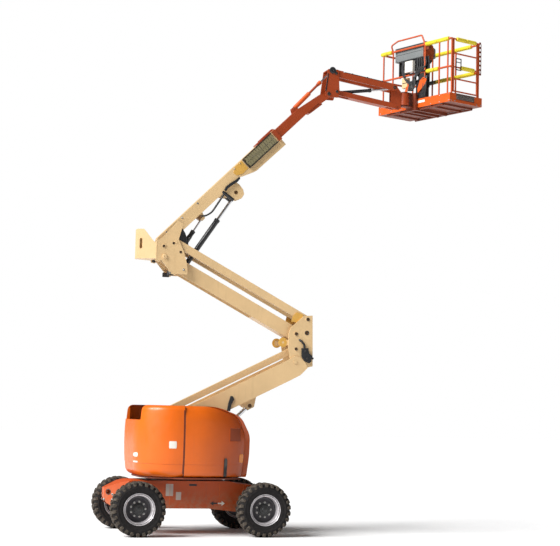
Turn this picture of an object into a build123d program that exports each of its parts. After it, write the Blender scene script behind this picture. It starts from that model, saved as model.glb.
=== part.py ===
from build123d import *
import os
from math import sin, cos, radians, degrees, atan2, hypot

os.makedirs("parts", exist_ok=True)

# ---------------------------------------------------------------------------
# Articulating boom lift, working pose. Millimetres, +Z up.
# X runs along the booms (platform at +X, tail at -X), Y across.
# The origin is the middle of the overall box, on the ground. Every size below
# is measured from the slew axis, which stands at (SLEW_X, SLEW_Y).
# ---------------------------------------------------------------------------
SLEW_X, SLEW_Y = -1668.755, -93.207

SIDE = Plane(origin=(SLEW_X, SLEW_Y, 0), x_dir=(1, 0, 0), z_dir=(0, -1, 0))
TOP = Plane(origin=(SLEW_X, SLEW_Y, 0), x_dir=(1, 0, 0), z_dir=(0, 0, 1))

# ---- wheels and axles
AXLE_X, TRACK_Y, AXLE_Z = 990.0, 842.0, 420.0
TYRE_R, TYRE_W, RIM_R = 420.0, 300.0, 222.0
KINGPIN_Y = 630.0
SPINDLE_R = 42.0
TIE_X, TIE_Z = -140.0, 306.0        # tie rod ends, from the steer axle, and their height

# ---- chassis and turntable
CHASSIS_W, CHASSIS_BOT, CHASSIS_TOP = 380.0, 400.0, 830.0
BEARING_R, BEARING_TOP = 330.0, 875.0
DECK_TOP = 900.0
HOOD_Z0, HOOD_TOP, HOOD_Y0, HOOD_Y1 = 908.0, 2000.0, 335.0, 955.0
SEAM_X, TAIL_X, TAIL_R = -315.0, -1000.0, 600.0

# ---- pins of the arms, (x, z) in the plane of the booms
A_ARM, B_ARM = (-625.0, 1609.0), (1646.0, 2746.0)
A_LINK, B_LINK = (-612.0, 1815.0), (1659.0, 2952.0)
M_KNUCKLE, M_UP = (1653.0, 3207.0), (-560.0, 4358.0)
ML_STEP = (178.0, 242.0)            # mid link pins, from the mid arm pins
ML_KNUCKLE = (M_KNUCKLE[0] + ML_STEP[0], M_KNUCKLE[1] + ML_STEP[1])
ML_UP = (M_UP[0] + ML_STEP[0], M_UP[1] + ML_STEP[1])
P_BOOM = (-576.0, 4535.0)           # main boom pivot
BOOM_DEG = 45.0
TOWER_BASE = (-190.0, 960.0)        # tower lift cylinder, foot
LIFT_BASE = (-215.0, 4190.0)        # main lift cylinder, foot
MASTER_BASE = (-293.0, 4443.0)      # upper level cylinder, foot
Q_TIP = (2150.0, 7220.0)            # fly tip pivot
T_TIP = (2180.0, 7590.0)            # lower level cylinder, rod end
JU0, JL0 = (2270.0, 7575.0), (2290.0, 7270.0)
JIB_LEN, JIB_DEG = 1060.0, -8.0
ROT_X = 3534.0                      # platform rotator axis
PLAT_DEG = 21.2                     # platform turned out from the boom line
FLOOR_Z = 7135.0
RAIL_Z = 8210.0


def along(p, deg, a, b=0.0):
    """Point at distance a along a direction and b above it."""
    c, s = cos(radians(deg)), sin(radians(deg))
    return (p[0] + a * c - b * s, p[1] + a * s + b * c)


def angle_of(p, q):
    return degrees(atan2(q[1] - p[1], q[0] - p[0]))


def length_of(p, q):
    return hypot(q[0] - p[0], q[1] - p[1])


def tilted(p, deg):
    """Side plane at pin p, local x along the given slope, local y above it."""
    c, s = cos(radians(deg)), sin(radians(deg))
    return Plane(origin=(SLEW_X + p[0], SLEW_Y, p[1]), x_dir=(c, 0, s), z_dir=(0, -1, 0))


JU1, JL1 = along(JU0, JIB_DEG, JIB_LEN), along(JL0, JIB_DEG, JIB_LEN)
TOWER_EYE = along(A_ARM, angle_of(A_ARM, B_ARM), 1584, -329)
LIFT_EYE = along(P_BOOM, BOOM_DEG, 1516, -197)
MASTER_EYE = along(P_BOOM, BOOM_DEG, 800, -115)
SLAVE_BASE = along(P_BOOM, BOOM_DEG, 3214, 176)


# ---- small building steps, used inside each part ---------------------------
def slab(pts, y0, y1, plane=SIDE, r=0, mode=Mode.ADD):
    """Closed outline in a side plane, from y0 to y1 across."""
    with BuildSketch(plane.offset(-y1)) as sk:
        with BuildLine():
            Polyline(*pts, close=True)
        make_face()
        if r:
            fillet(sk.vertices(), r)
    extrude(sk.sketch, amount=y1 - y0, mode=mode)


def slabs(pts, y0, y1, plane=SIDE, r=0, mode=Mode.ADD):
    """The same outline on both sides of the boom plane."""
    slab(pts, y0, y1, plane, r, mode)
    slab(pts, -y1, -y0, plane, r, mode)


def pin(p, r, y0, y1, plane=SIDE, mode=Mode.ADD):
    with BuildSketch(plane.offset(-y1)) as sk:
        with Locations(p):
            Circle(r)
    extrude(sk.sketch, amount=y1 - y0, mode=mode)


def pins(p, r, y0, y1, plane=SIDE, mode=Mode.ADD):
    pin(p, r, y0, y1, plane, mode)
    pin(p, r, -y1, -y0, plane, mode)


def box_run(plane, x0, x1, z0, z1, w, mode=Mode.ADD):
    """Rectangle along a tilted plane, w each side of it."""
    slab([(x0, z0), (x1, z0), (x1, z1), (x0, z1)], -w, w, plane, 0, mode)


def flat(pts, z0, z1, r=0, mode=Mode.ADD, plane=TOP):
    """Plan outline between two heights."""
    with BuildSketch(plane.offset(z0)) as sk:
        with BuildLine():
            Polyline(*pts, close=True)
        make_face()
        if r:
            fillet(sk.vertices(), r)
    extrude(sk.sketch, amount=z1 - z0, mode=mode)


def post(x, y, r, z0, z1, mode=Mode.ADD, plane=TOP):
    with BuildSketch(plane.offset(z0)) as sk:
        with Locations((x, y)):
            Circle(r)
    extrude(sk.sketch, amount=z1 - z0, mode=mode)


def run(p, q, r, mode=Mode.ADD):
    """Round bar between two points given as (x, y, z)."""
    d = Vector(*q) - Vector(*p)
    pl = Plane(origin=p, z_dir=d)
    with BuildSketch(pl) as sk:
        Circle(r)
    extrude(sk.sketch, amount=d.length, mode=mode)


def rams(barrel_name, rod_name, p, q, r_out, r_rod, r_pin, barrel_len, rod_len, half):
    """Barrel and rod of one cylinder lying from pin p to pin q.
    The barrel has a bored foot eye; the rod's eye is plain and floats."""
    full = length_of(p, q)
    pl = tilted(p, angle_of(p, q))
    ax = Plane(origin=pl.origin, x_dir=(0, 1, 0), z_dir=pl.x_dir)
    with BuildPart() as barrel:
        with BuildSketch(ax.offset(r_pin + 6)) as s1:
            Circle(r_out)
        extrude(s1.sketch, amount=barrel_len - r_pin - 6)
        with BuildSketch(ax.offset(r_pin + 26)) as s2:
            Circle(r_rod + 6)
        extrude(s2.sketch, amount=barrel_len, mode=Mode.SUBTRACT)
        with BuildSketch(ax.offset(barrel_len - 40)) as s3:
            Circle(r_out + 5)
            Circle(r_rod + 6, mode=Mode.SUBTRACT)
        extrude(s3.sketch, amount=40)
        pin((0, 0), r_pin + 16, -half, half, pl)
        pin((0, 0), r_pin + 0.4, -half - 1, half + 1, pl, Mode.SUBTRACT)
    with BuildPart() as rod:
        with BuildSketch(ax.offset(full - rod_len)) as s4:
            Circle(r_rod)
        extrude(s4.sketch, amount=rod_len - r_pin)
        pin((full, 0), r_pin + 14, -half, half, pl)
    barrel.part.label = barrel_name
    export_step(barrel.part, f"parts/{barrel_name}.step")
    rod.part.label = rod_name
    export_step(rod.part, f"parts/{rod_name}.step")


# ===========================================================================
# CHASSIS
# ===========================================================================
# bottom and top of the frame from the side: x, z, tail end to drive end
FRAME_BOTTOM = [(-1385, 565), (-1355, 475), (-1290, 425), (-1215, 425), (-1180, 560), (-830, 560),
                (-760, CHASSIS_BOT), (230, CHASSIS_BOT), (640, 356), (740, 364), (830, 560), (1180, 560),
                (1215, 425), (1290, 425), (1355, 475), (1385, 565)]
FRAME_TOP = [(1385, 652), (1130, 742), (920, 774), (680, 797), (560, CHASSIS_TOP), (-700, CHASSIS_TOP),
             (-1000, 825), (-1130, 800), (-1385, 700)]
NOSE_TIP, NOSE_ROOT = (1385.0, 90.0), (1050.0, CHASSIS_W)
NOSE_N = (0.6545, 0.7561)           # outward normal of the slanting nose walls


def plan_of(t):
    """Plan outline of the frame with every wall pulled in by t."""
    reach = NOSE_N[0] * NOSE_ROOT[0] + NOSE_N[1] * NOSE_ROOT[1] - t
    a, d = NOSE_TIP[0] - t, NOSE_ROOT[1] - t
    b = (reach - NOSE_N[0] * a) / NOSE_N[1]
    c = (reach - NOSE_N[1] * d) / NOSE_N[0]
    return [(-a, -b), (-c, -d), (c, -d), (a, -b), (a, b), (c, d), (-c, d), (-a, b)]


# tie-down holes: x, z of the hole on each end's slanting walls
TIE_HOLES = [(-1327.0, 637.0), (1327.0, 570.0)]
TIE_HOLE_Y, TIE_HOLE_R = 140.0, 36.0

with BuildPart() as chassis_core:
    flat(plan_of(14), 320, CHASSIS_TOP)
    slab([(x, z - 120) for x, z in FRAME_BOTTOM] + [(x, z - 16) for x, z in FRAME_TOP], -500, 500, mode=Mode.INTERSECT)

with BuildPart() as chassis_frame:
    flat(plan_of(0), 340, CHASSIS_TOP)
    slab(FRAME_BOTTOM + FRAME_TOP, -500, 500, mode=Mode.INTERSECT)
    add(chassis_core.part, mode=Mode.SUBTRACT)
    # floor pan and cross walls: x, top
    flat([(-760, -368), (740, -368), (740, 368), (-760, 368)], CHASSIS_BOT, CHASSIS_BOT + 12)
    for x, z in ((-790, 816), (-400, 816), (400, 816), (778, 775)):
        slab([(x, 415), (x + 12, 415), (x + 12, z), (x, z)], -368, 368)
    # saddle blocks over the axles
    for x, z in ((-AXLE_X, 815), (AXLE_X, 752)):
        slab([(x - 60, 560), (x + 60, 560), (x + 60, z), (x - 60, z)], -70, 70)
    for x, z in TIE_HOLES:
        for sy in (1, -1):
            sx = 1 if x > 0 else -1
            nose = Plane(origin=(SLEW_X + x, SLEW_Y + sy * TIE_HOLE_Y, z), z_dir=(NOSE_N[0] * sx, NOSE_N[1] * sy, 0))
            with BuildSketch(nose.offset(-45)) as hole:
                Circle(TIE_HOLE_R)
            extrude(hole.sketch, amount=90, mode=Mode.SUBTRACT)
chassis_frame.part.label = "chassis_frame"
export_step(chassis_frame.part, "parts/chassis_frame.step")

with BuildPart() as slew_bearing:
    with BuildSketch(TOP.offset(CHASSIS_TOP)) as sk:
        Circle(BEARING_R)
        Circle(BEARING_R - 75, mode=Mode.SUBTRACT)
    extrude(sk.sketch, amount=BEARING_TOP - CHASSIS_TOP - 6)
slew_bearing.part.label = "slew_bearing"
export_step(slew_bearing.part, "parts/slew_bearing.step")

# steer axle: beam, centre block, forked ends with king pins
with BuildPart() as steer_axle:
    slab([(-AXLE_X - 60, 350), (-AXLE_X + 60, 350), (-AXLE_X + 60, 480), (-AXLE_X - 60, 480)], -560, 560)
    slab([(-AXLE_X - 48, 362), (-AXLE_X + 48, 362), (-AXLE_X + 48, 468), (-AXLE_X - 48, 468)], -540, 540, mode=Mode.SUBTRACT)
    slab([(-AXLE_X - 60, 480), (-AXLE_X + 60, 480), (-AXLE_X + 50, 559), (-AXLE_X - 50, 559)], -70, 70)
    for s in (1, -1):
        for z0, z1 in ((330, 352), (488, 510)):
            flat([(-AXLE_X - 38, s * 540), (-AXLE_X + 38, s * 540), (-AXLE_X + 38, s * KINGPIN_Y), (-AXLE_X - 38, s * KINGPIN_Y)], z0, z1)
            post(-AXLE_X, s * KINGPIN_Y, 38, z0, z1)
        slab([(-AXLE_X - 50, 330), (-AXLE_X + 50, 330), (-AXLE_X + 50, 510), (-AXLE_X - 50, 510)],
             min(540 * s, 566 * s), max(540 * s, 566 * s))
        post(-AXLE_X, s * KINGPIN_Y, 20, 330, 525)
steer_axle.part.label = "steer_axle"
export_step(steer_axle.part, "parts/steer_axle.step")

for side_name, s in (("left", 1), ("right", -1)):
    with BuildPart() as knuckle:
        flat([(-AXLE_X - 42, s * 592), (-AXLE_X + 42, s * 592), (-AXLE_X + 42, s * 676), (-AXLE_X - 42, s * 676)], 360, 480)
        pin((-AXLE_X, AXLE_Z), 60, min(s * 676, s * 700), max(s * 676, s * 700))
        pin((-AXLE_X, AXLE_Z), SPINDLE_R, min(s * 660, s * 905), max(s * 660, s * 905))
        # steering arm: down outside the fork, then under it towards the tail
        flat([(-AXLE_X - 30, s * 676), (-AXLE_X + 30, s * 676), (-AXLE_X + 30, s * 700), (-AXLE_X - 30, s * 700)], TIE_Z - 30, 400)
        flat([(-AXLE_X - 30, s * 608), (-AXLE_X + 30, s * 608), (-AXLE_X + 30, s * 700), (-AXLE_X - 30, s * 700),
              (-AXLE_X + TIE_X, s * 652), (-AXLE_X + TIE_X - 22, s * 652), (-AXLE_X + TIE_X - 22, s * 608)], TIE_Z - 30, TIE_Z - 12)
        post(-AXLE_X, s * KINGPIN_Y, 20.4, 350, 490, mode=Mode.SUBTRACT)
        post(-AXLE_X + TIE_X, s * KINGPIN_Y, 10, TIE_Z - 12, TIE_Z + 14)
    knuckle.part.label = f"steer_knuckle_{side_name}"
    export_step(knuckle.part, f"parts/steer_knuckle_{side_name}.step")

with BuildPart() as tie_rod:
    run((SLEW_X - AXLE_X + TIE_X, SLEW_Y - KINGPIN_Y + 15, TIE_Z), (SLEW_X - AXLE_X + TIE_X, SLEW_Y + KINGPIN_Y - 15, TIE_Z), 9)
    for s in (1, -1):
        post(-AXLE_X + TIE_X, s * KINGPIN_Y, 22, TIE_Z - 11, TIE_Z + 11)
        post(-AXLE_X + TIE_X, s * KINGPIN_Y, 10.4, TIE_Z - 30, TIE_Z + 30, mode=Mode.SUBTRACT)
tie_rod.part.label = "tie_rod"
export_step(tie_rod.part, "parts/tie_rod.step")

with BuildPart() as drive_axle:
    pin((AXLE_X, AXLE_Z), 68, -640, 640)
    pin((AXLE_X, AXLE_Z), 56, -600, 600, mode=Mode.SUBTRACT)
    pin((AXLE_X, AXLE_Z), 120, -95, 95)
    slab([(AXLE_X - 55, AXLE_Z + 40), (AXLE_X + 55, AXLE_Z + 40), (AXLE_X + 55, 559), (AXLE_X - 55, 559)], -70, 70)
    for s in (1, -1):
        pin((AXLE_X, AXLE_Z), 95, min(s * 632, s * 672), max(s * 632, s * 672))
        pin((AXLE_X, AXLE_Z), SPINDLE_R, min(s * 640, s * 905), max(s * 640, s * 905))
drive_axle.part.label = "drive_axle"
export_step(drive_axle.part, "parts/drive_axle.step")

# wheels: end, side, x of the axle, sign across
WHEELS = [("front_left", AXLE_X, 1), ("front_right", AXLE_X, -1), ("rear_left", -AXLE_X, 1), ("rear_right", -AXLE_X, -1)]
# rim half section: radius, distance out from the wheel's middle
RIM_OUT = [(SPINDLE_R + 0.4, -20), (SPINDLE_R + 0.4, 66), (78, 66), (88, 40), (128, 22), (165, 12),
           (196, 22), (205, 60), (205, 110), (236, 128), (240, 138), (RIM_R + 12, 138), (RIM_R, 124),
           (RIM_R, -124), (RIM_R + 12, -138), (240, -138), (236, -128), (205, -112), (205, 0), (186, -4),
           (165, -6), (128, 4), (84, 18), (84, -20)]
TYRE_HALF = [(RIM_R + 0.6, -118), (RIM_R + 14, -122), (244, -139), (300, -148), (372, -146), (402, -134), (TYRE_R, -112),
             (TYRE_R, 112), (402, 134), (372, 146), (300, 148), (244, 139), (RIM_R + 14, 122), (RIM_R + 0.6, 118)]


def turned(pts, x, y_mid, s):
    """Section of (radius, outward distance) turned about a wheel's axis."""
    pl = Plane(origin=(SLEW_X + x, SLEW_Y + y_mid, AXLE_Z), x_dir=(1, 0, 0), z_dir=(0, 0, 1))
    with BuildSketch(pl) as sk:
        with BuildLine():
            Polyline(*[(r, s * d) for r, d in pts], close=True)
        make_face()
    revolve(sk.sketch, axis=Axis((SLEW_X + x, SLEW_Y + y_mid, AXLE_Z), (0, 1, 0)), revolution_arc=360)


for wheel_name, x, s in WHEELS:
    with BuildPart() as rim:
        turned(RIM_OUT, x, s * TRACK_Y, s)
    rim.part.label = f"rim_{wheel_name}"
    export_step(rim.part, f"parts/rim_{wheel_name}.step")
    with BuildPart() as tyre:
        turned(TYRE_HALF, x, s * TRACK_Y, s)
    tyre.part.label = f"tyre_{wheel_name}"
    export_step(tyre.part, f"parts/tyre_{wheel_name}.step")

# ===========================================================================
# TURNTABLE
# ===========================================================================
TT_PLATE = (236.0, 264.0)           # turntable side plates, distance across
ARM_WALL = (213.0, 228.0)           # lower arm side walls
KN_PLATE = (190.0, 208.0)           # knuckle and upright plates
LINK_BAR = (135.0, 175.0)           # mid link bars
MID_WALL = (103.0, 118.0)           # mid arm side walls
RIB = (55.0, 80.0)                  # inner ribs and lugs that hold the rams

with BuildPart() as turntable_frame:
    with BuildSketch(TOP.offset(BEARING_TOP)) as sk:
        with BuildLine():
            Polyline((SEAM_X, 930), (-100, 930), (200, 895), (430, 820), (640, 700), (640, -700), (430, -820), (200, -895), (-100, -930),
                     (SEAM_X, -930), (-760, -700), (-880, -330), (-880, 330), (-760, 700), close=True)
        make_face()
    extrude(sk.sketch, amount=DECK_TOP - BEARING_TOP)
    slabs([(-790, DECK_TOP), (560, DECK_TOP), (560, 1090), (180, 1340), (-440, 1885), (-690, 1885), (-790, 1560)],
          *TT_PLATE, r=0)
    # rams' foot lugs
    slabs([(-260, DECK_TOP), (-110, DECK_TOP), (-150, 995), (-230, 995)], *RIB)
    pin(TOWER_BASE, 22, -84, 84)
    # pins of the lower arm and link
    pins(A_ARM, 35, 206, 272)
    pin(A_LINK, 25, -272, 272)
    # rails that carry the hoods' hinges
    for s in (1, -1):
        for x in (-330, 330):
            flat([(x, s * 262), (x + 40, s * 262), (x + 40, s * 320), (x, s * 320)], DECK_TOP, 1895)
        flat([(-372, s * 290), (420, s * 290), (420, s * 320), (-372, s * 320)], 1895, 1925)
turntable_frame.part.label = "turntable_frame"
export_step(turntable_frame.part, "parts/turntable_frame.step")

# tail casting: rounded in plan, open to the front, notched for the boom
WALL = 85.0


def tail_plan(t):
    """Plan of the tail pulled in by t, open end at the seam."""
    r = TAIL_R - t
    y = HOOD_Y1 - t
    x = TAIL_X + t
    k = 0.7071
    front = SEAM_X + (0 if t == 0 else 40)
    return front, x, y, r, k


def tail_block(t, z0, z1, mode=Mode.ADD):
    front, x, y, r, k = tail_plan(t)
    with BuildSketch(TOP.offset(z0)) as sk:
        with BuildLine():
            Line((front, -y), (front, y))
            Line((front, y), (x + r, y))
            ThreePointArc((x + r, y), (x + r - r * k, y - r + r * k), (x, y - r))
            Line((x, y - r), (x, -(y - r)))
            ThreePointArc((x, -(y - r)), (x + r - r * k, -(y - r + r * k)), (x + r, -y))
            Line((x + r, -y), (front, -y))
        make_face()
    extrude(sk.sketch, amount=z1 - z0, mode=mode)


with BuildPart() as counterweight:
    tail_block(0, HOOD_Z0 - 6, HOOD_TOP)
    rim_edges = counterweight.edges().group_by(Axis.Z)[-1].filter_by(lambda e: e.center().X < SLEW_X + SEAM_X - 5)
    fillet(rim_edges, 70)
    low_edges = counterweight.edges().group_by(Axis.Z)[0].filter_by(lambda e: e.center().X < SLEW_X + SEAM_X - 5)
    fillet(low_edges, 30)
    tail_block(WALL, HOOD_Z0 - 20, HOOD_TOP - 60, mode=Mode.SUBTRACT)
    # notch over the boom channel
    slab_pts = [(-1100, 1780), (-300, 1780), (-300, 2100), (-1100, 2100)]
    slab(slab_pts, -500, 500, mode=Mode.SUBTRACT)
    flat([(-820, -272), (-300, -272), (-300, 272), (-820, 272)], 880, 2100, mode=Mode.SUBTRACT)
counterweight.part.label = "counterweight"
export_step(counterweight.part, "parts/counterweight.step")

with BuildPart() as engine_block:
    flat([(-270, 390), (330, 390), (330, 800), (-270, 800)], DECK_TOP, 1470, r=25)
engine_block.part.label = "engine_block"
export_step(engine_block.part, "parts/engine_block.step")


# hood's side outline: x, z, corner radius; bottom and seam are open
HOOD_SHAPE = [(SEAM_X + 8, HOOD_Z0, 0), (SEAM_X + 8, HOOD_TOP, 0), (150, HOOD_TOP - 4, 900), (560, 1850, 300),
              (733, 1560, 300), (728, 1250, 1500), (690, HOOD_Z0, 0)]


def inset(pts, shifts):
    """Closed outline with side k moved inwards by shifts[k] (outline runs clockwise)."""
    n, lines = len(pts), []
    for k in range(n):
        (xa, za), (xb, zb) = pts[k][:2], pts[(k + 1) % n][:2]
        size = hypot(xb - xa, zb - za)
        nx, nz = (zb - za) / size, -(xb - xa) / size
        lines.append((nx, nz, nx * xa + nz * za + shifts[k]))
    out = []
    for k in range(n):
        a, b, c = lines[k - 1]
        d, e, f = lines[k]
        det = a * e - b * d
        out.append(((c * e - b * f) / det, (a * f - c * d) / det))
    return out


HOOD_BOW_X, HOOD_BOW_R = -150.0, 1700.0     # the cover's side bows inwards ahead of this line


def hood_body(t, s):
    """Solid hood shape pulled in by t, bowed in plan towards its front."""
    y0, y1 = HOOD_Y0 - (30 if t else 0), HOOD_Y1 - t
    past = -60 if t else 0
    pts = inset(HOOD_SHAPE, [past, t, t, t, t, t, past])
    with BuildSketch(SIDE.offset(-(y1 if s > 0 else -y0))) as sk:
        with BuildLine():
            Polyline(*pts, close=True)
        make_face()
        for (x, z), (_, _, r) in zip(pts, HOOD_SHAPE):
            if r:
                fillet(sk.vertices().sort_by_distance((x, z, 0))[0], r - t)
    bow = HOOD_BOW_R - t
    reach = [(x, s * (HOOD_Y1 - HOOD_BOW_R + (bow ** 2 - (x - HOOD_BOW_X) ** 2) ** 0.5)) for x in (300, 760)]
    with BuildPart() as body:
        extrude(sk.sketch, amount=y1 - y0)
        with BuildSketch(TOP.offset(800)) as plan:
            with BuildLine():
                Polyline((760, reach[1][1]), (760, s * 250), (-500, s * 250), (-500, s * y1), (HOOD_BOW_X, s * y1))
                ThreePointArc((HOOD_BOW_X, s * y1), reach[0], reach[1])
            make_face()
        extrude(plan.sketch, amount=1300, mode=Mode.INTERSECT)
    return body.part


for hood_name, s in (("left", 1), ("right", -1)):
    outer_body, inner_body = hood_body(0, s), hood_body(6, s)
    with BuildPart() as hood:
        add(outer_body)
        add(inner_body, mode=Mode.SUBTRACT)
        # hinge leaf beside the rail
        a, b = (HOOD_Y0, HOOD_Y0 + 12) if s > 0 else (-HOOD_Y0 - 12, -HOOD_Y0)
        slab([(-300, 1930), (-240, 1930), (-240, 1995), (-300, 1995)], a, b)
    hood.part.label = f"hood_{hood_name}"
    export_step(hood.part, f"parts/hood_{hood_name}.step")

rams("tower_cylinder_barrel", "tower_cylinder_rod", TOWER_BASE, TOWER_EYE, 50, 30, 22, 1130, 1120, 40)

# ===========================================================================
# TOWER
# ===========================================================================
ARM_DEG = angle_of(A_ARM, B_ARM)
ARM_LEN = length_of(A_ARM, B_ARM)
ARM = tilted(A_ARM, ARM_DEG)
# outline of the lower arm's side walls: along the pins, above them
ARM_WALL_SHAPE = [(-95, -40), (-60, 75), (40, 78), (130, 18), (300, 20), (500, 82), (2470, 84), (2580, 96),
                  (2650, 40), (2695, -90), (2690, -172), (2530, -225), (2330, -229), (300, -224), (60, -110), (-60, -95)]

with BuildPart() as lower_arm:
    slabs(ARM_WALL_SHAPE, *ARM_WALL, plane=ARM)
    # bottom plate and cross walls
    box_run(ARM, 300, 2430, -226, -214, 226)
    for x in (520, 1180, 1860, 2330):
        box_run(ARM, x, x + 12, -216, -5, 226)
    slab([(1200, -240), (1850, -240), (1850, -200), (1200, -200)], -48, 48, ARM, mode=Mode.SUBTRACT)
    # lugs of the tower cylinder
    slabs([(1440, -220), (1530, -375), (1640, -375), (1760, -220)], *RIB, plane=ARM)
    pins((0, 0), 35.4, 200, 240, ARM, Mode.SUBTRACT)
    pins((ARM_LEN, 0), 32.4, 200, 240, ARM, Mode.SUBTRACT)
lower_arm.part.label = "lower_arm"
export_step(lower_arm.part, "parts/lower_arm.step")


def tube_link(plane, span, half, w, t, r_bore, y_off=0.0):
    """Box tube between two pins with a bored boss at each end."""
    slab([(0, -half), (span, -half), (span, half), (0, half)], y_off - w, y_off + w, plane)
    for x in (0, span):
        pin((x, 0), half, y_off - w, y_off + w, plane)
    slab([(half + 30, -half + t), (span - half - 30, -half + t), (span - half - 30, half - t), (half + 30, half - t)],
         y_off - w + t, y_off + w - t, plane, mode=Mode.SUBTRACT)
    for x in (0, span):
        pin((x, 0), r_bore, y_off - w - 1, y_off + w + 1, plane, Mode.SUBTRACT)


with BuildPart() as lower_link:
    tube_link(tilted(A_LINK, angle_of(A_LINK, B_LINK)), length_of(A_LINK, B_LINK), 50, 42, 7, 25.4)
lower_link.part.label = "lower_link"
export_step(lower_link.part, "parts/lower_link.step")

# outline of the knuckle plates: x, z
KNUCKLE_SHAPE = [(1777, 3503), (1927, 3516), (1946, 2690), (1880, 2672), (1646, 2668), (1568, 2720), (1552, 2860),
                 (1527, 2974), (1528, 3209), (1560, 3300)]
with BuildPart() as tower_knuckle:
    slabs(KNUCKLE_SHAPE, *KN_PLATE)
    # back wall, open above the boom's line when stowed
    slab([(1916, 2720), (1932, 2720), (1920, 3330), (1904, 3330)], -200, 200)
    pins(B_ARM, 32, 186, 236)
    pin(B_LINK, 25, -214, 214)
    pin(M_KNUCKLE, 35, -216, 216)
    pins(ML_KNUCKLE, 24, 129, 214)
    slabs([(1790, 3400), (1872, 3400), (1872, 3498), (1790, 3498)], 180, 190)
    # hose clamp block on the back
    slab([(1924, 2760), (1990, 2760), (1990, 2830), (1924, 2830)], -60, 60)
tower_knuckle.part.label = "tower_knuckle"
export_step(tower_knuckle.part, "parts/tower_knuckle.step")

MID_DEG = angle_of(M_UP, M_KNUCKLE)
MID_LEN = length_of(M_UP, M_KNUCKLE)
MID = tilted(M_UP, MID_DEG)
MID_HALF = 112.0
with BuildPart() as mid_arm:
    slabs([(-40, -92), (-95, -40), (-95, 40), (-40, 92), (160, MID_HALF), (MID_LEN - 60, MID_HALF), (MID_LEN + 60, 92),
           (MID_LEN + 102, 30), (MID_LEN + 102, -40), (MID_LEN + 60, -92), (MID_LEN - 60, -MID_HALF), (160, -MID_HALF)],
          *MID_WALL, plane=MID)
    # top and bottom plates over the closed part, clear of the nested rams
    box_run(MID, 1730, MID_LEN - 110, MID_HALF - 10, MID_HALF, 116)
    box_run(MID, 1730, MID_LEN - 110, -MID_HALF, -MID_HALF + 10, 116)
    box_run(MID, 1730, 1742, -MID_HALF, MID_HALF, 116)
    pin((0, 0), 60, *MID_WALL, plane=MID)
    pins((0, 0), 35.4, 90, 130, MID, Mode.SUBTRACT)
    pins((MID_LEN, 0), 35.4, 90, 130, MID, Mode.SUBTRACT)
mid_arm.part.label = "mid_arm"
export_step(mid_arm.part, "parts/mid_arm.step")

with BuildPart() as mid_link:
    for s in (1, -1):
        tube_link(tilted(ML_UP, MID_DEG), MID_LEN, 62, 20, 5, 24.4, s * 155)
mid_link.part.label = "mid_link"
export_step(mid_link.part, "parts/mid_link.step")

# outline of the upright's side plates: x, z
UPRIGHT_SHAPE = [(-702, 4596), (-596, 4667), (-361, 4937), (-268, 4900), (-340, 4640), (-247, 4445), (-193, 4255),
                 (-179, 4085), (-367, 4087), (-499, 4160), (-608, 4290), (-702, 4300)]
# inner ribs inside the mid arm's fork: x, z
RIB_SHAPE = [(-700, 4330), (-600, 4292), (-440, 4225), (-270, 4135), (-190, 4135), (-160, 4180), (-160, 4250),
             (-240, 4400), (-252, 4470), (-335, 4478), (-420, 4430), (-560, 4422), (-700, 4422)]
# tail box in plan: x, half width
TAIL_BOX = [(-690, 210), (-985, 78)]

with BuildPart() as upright:
    slabs(UPRIGHT_SHAPE, *KN_PLATE)
    (xa, ya), (xb, yb) = TAIL_BOX
    flat([(xa, -ya), (xa, ya), (xb, yb), (xb, -yb)], 4318, 4792)
    flat([(xa + 1, -ya + 12), (xa + 1, ya - 12), (xb + 12, yb - 8), (xb + 12, -yb + 8)], 4332, 4800, mode=Mode.SUBTRACT)
    # sloping top of the tail box beside the plates
    slab([(-884, 4800), (-704, 4575), (-600, 4575), (-600, 4801)], -188, 188, mode=Mode.SUBTRACT)
    slab([(-895, 4801), (-716, 4565), (-702, 4597), (-688, 4606), (-688, 4801)], -230, 230, mode=Mode.SUBTRACT)
    # closing web, ribs and pads
    slab([(-704, 4318), (-690, 4318), (-690, 4440), (-704, 4440)], -206, 206)
    slabs(RIB_SHAPE, *RIB)
    slabs([(-486, 4088), (-378, 4070), (-368, 4100), (-486, 4160)], 160, 206)
    slabs([(-700, 4286), (-640, 4274), (-620, 4300), (-700, 4318)], 160, 206)
    pin(M_UP, 35, -216, 216)
    pin(P_BOOM, 30, -218, 218)
    pins(ML_UP, 24, 129, 214)
    pin(LIFT_BASE, 22, -84, 84)
    pin(MASTER_BASE, 10, -84, 84)
    # slots in the slanting tail walls
    for s in (1, -1):
        wall = Plane(origin=(SLEW_X - 930, SLEW_Y + s * (78 + 132 * 55 / 295), 4560), x_dir=(0, 0, 1), z_dir=(-132, s * 295, 0))
        with BuildSketch(wall.offset(-40)) as sk:
            SlotOverall(170, 42)
        extrude(sk.sketch, amount=80, mode=Mode.SUBTRACT)
upright.part.label = "upright"
export_step(upright.part, "parts/upright.step")

rams("lift_cylinder_barrel", "lift_cylinder_rod", LIFT_BASE, LIFT_EYE, 42, 24, 22, 1000, 985, 40)
rams("master_cylinder_barrel", "master_cylinder_rod", MASTER_BASE, MASTER_EYE, 34, 14, 10, 440, 455, 24)

# ===========================================================================
# BOOM
# ===========================================================================
BOOM = tilted(P_BOOM, BOOM_DEG)
BOOM_Z0, BOOM_Z1, BOOM_W, BOOM_END = -40.0, 150.0, 95.0, 2700.0
FLY_Z0, FLY_Z1, FLY_W = -24.0, 134.0, 75.0

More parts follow.
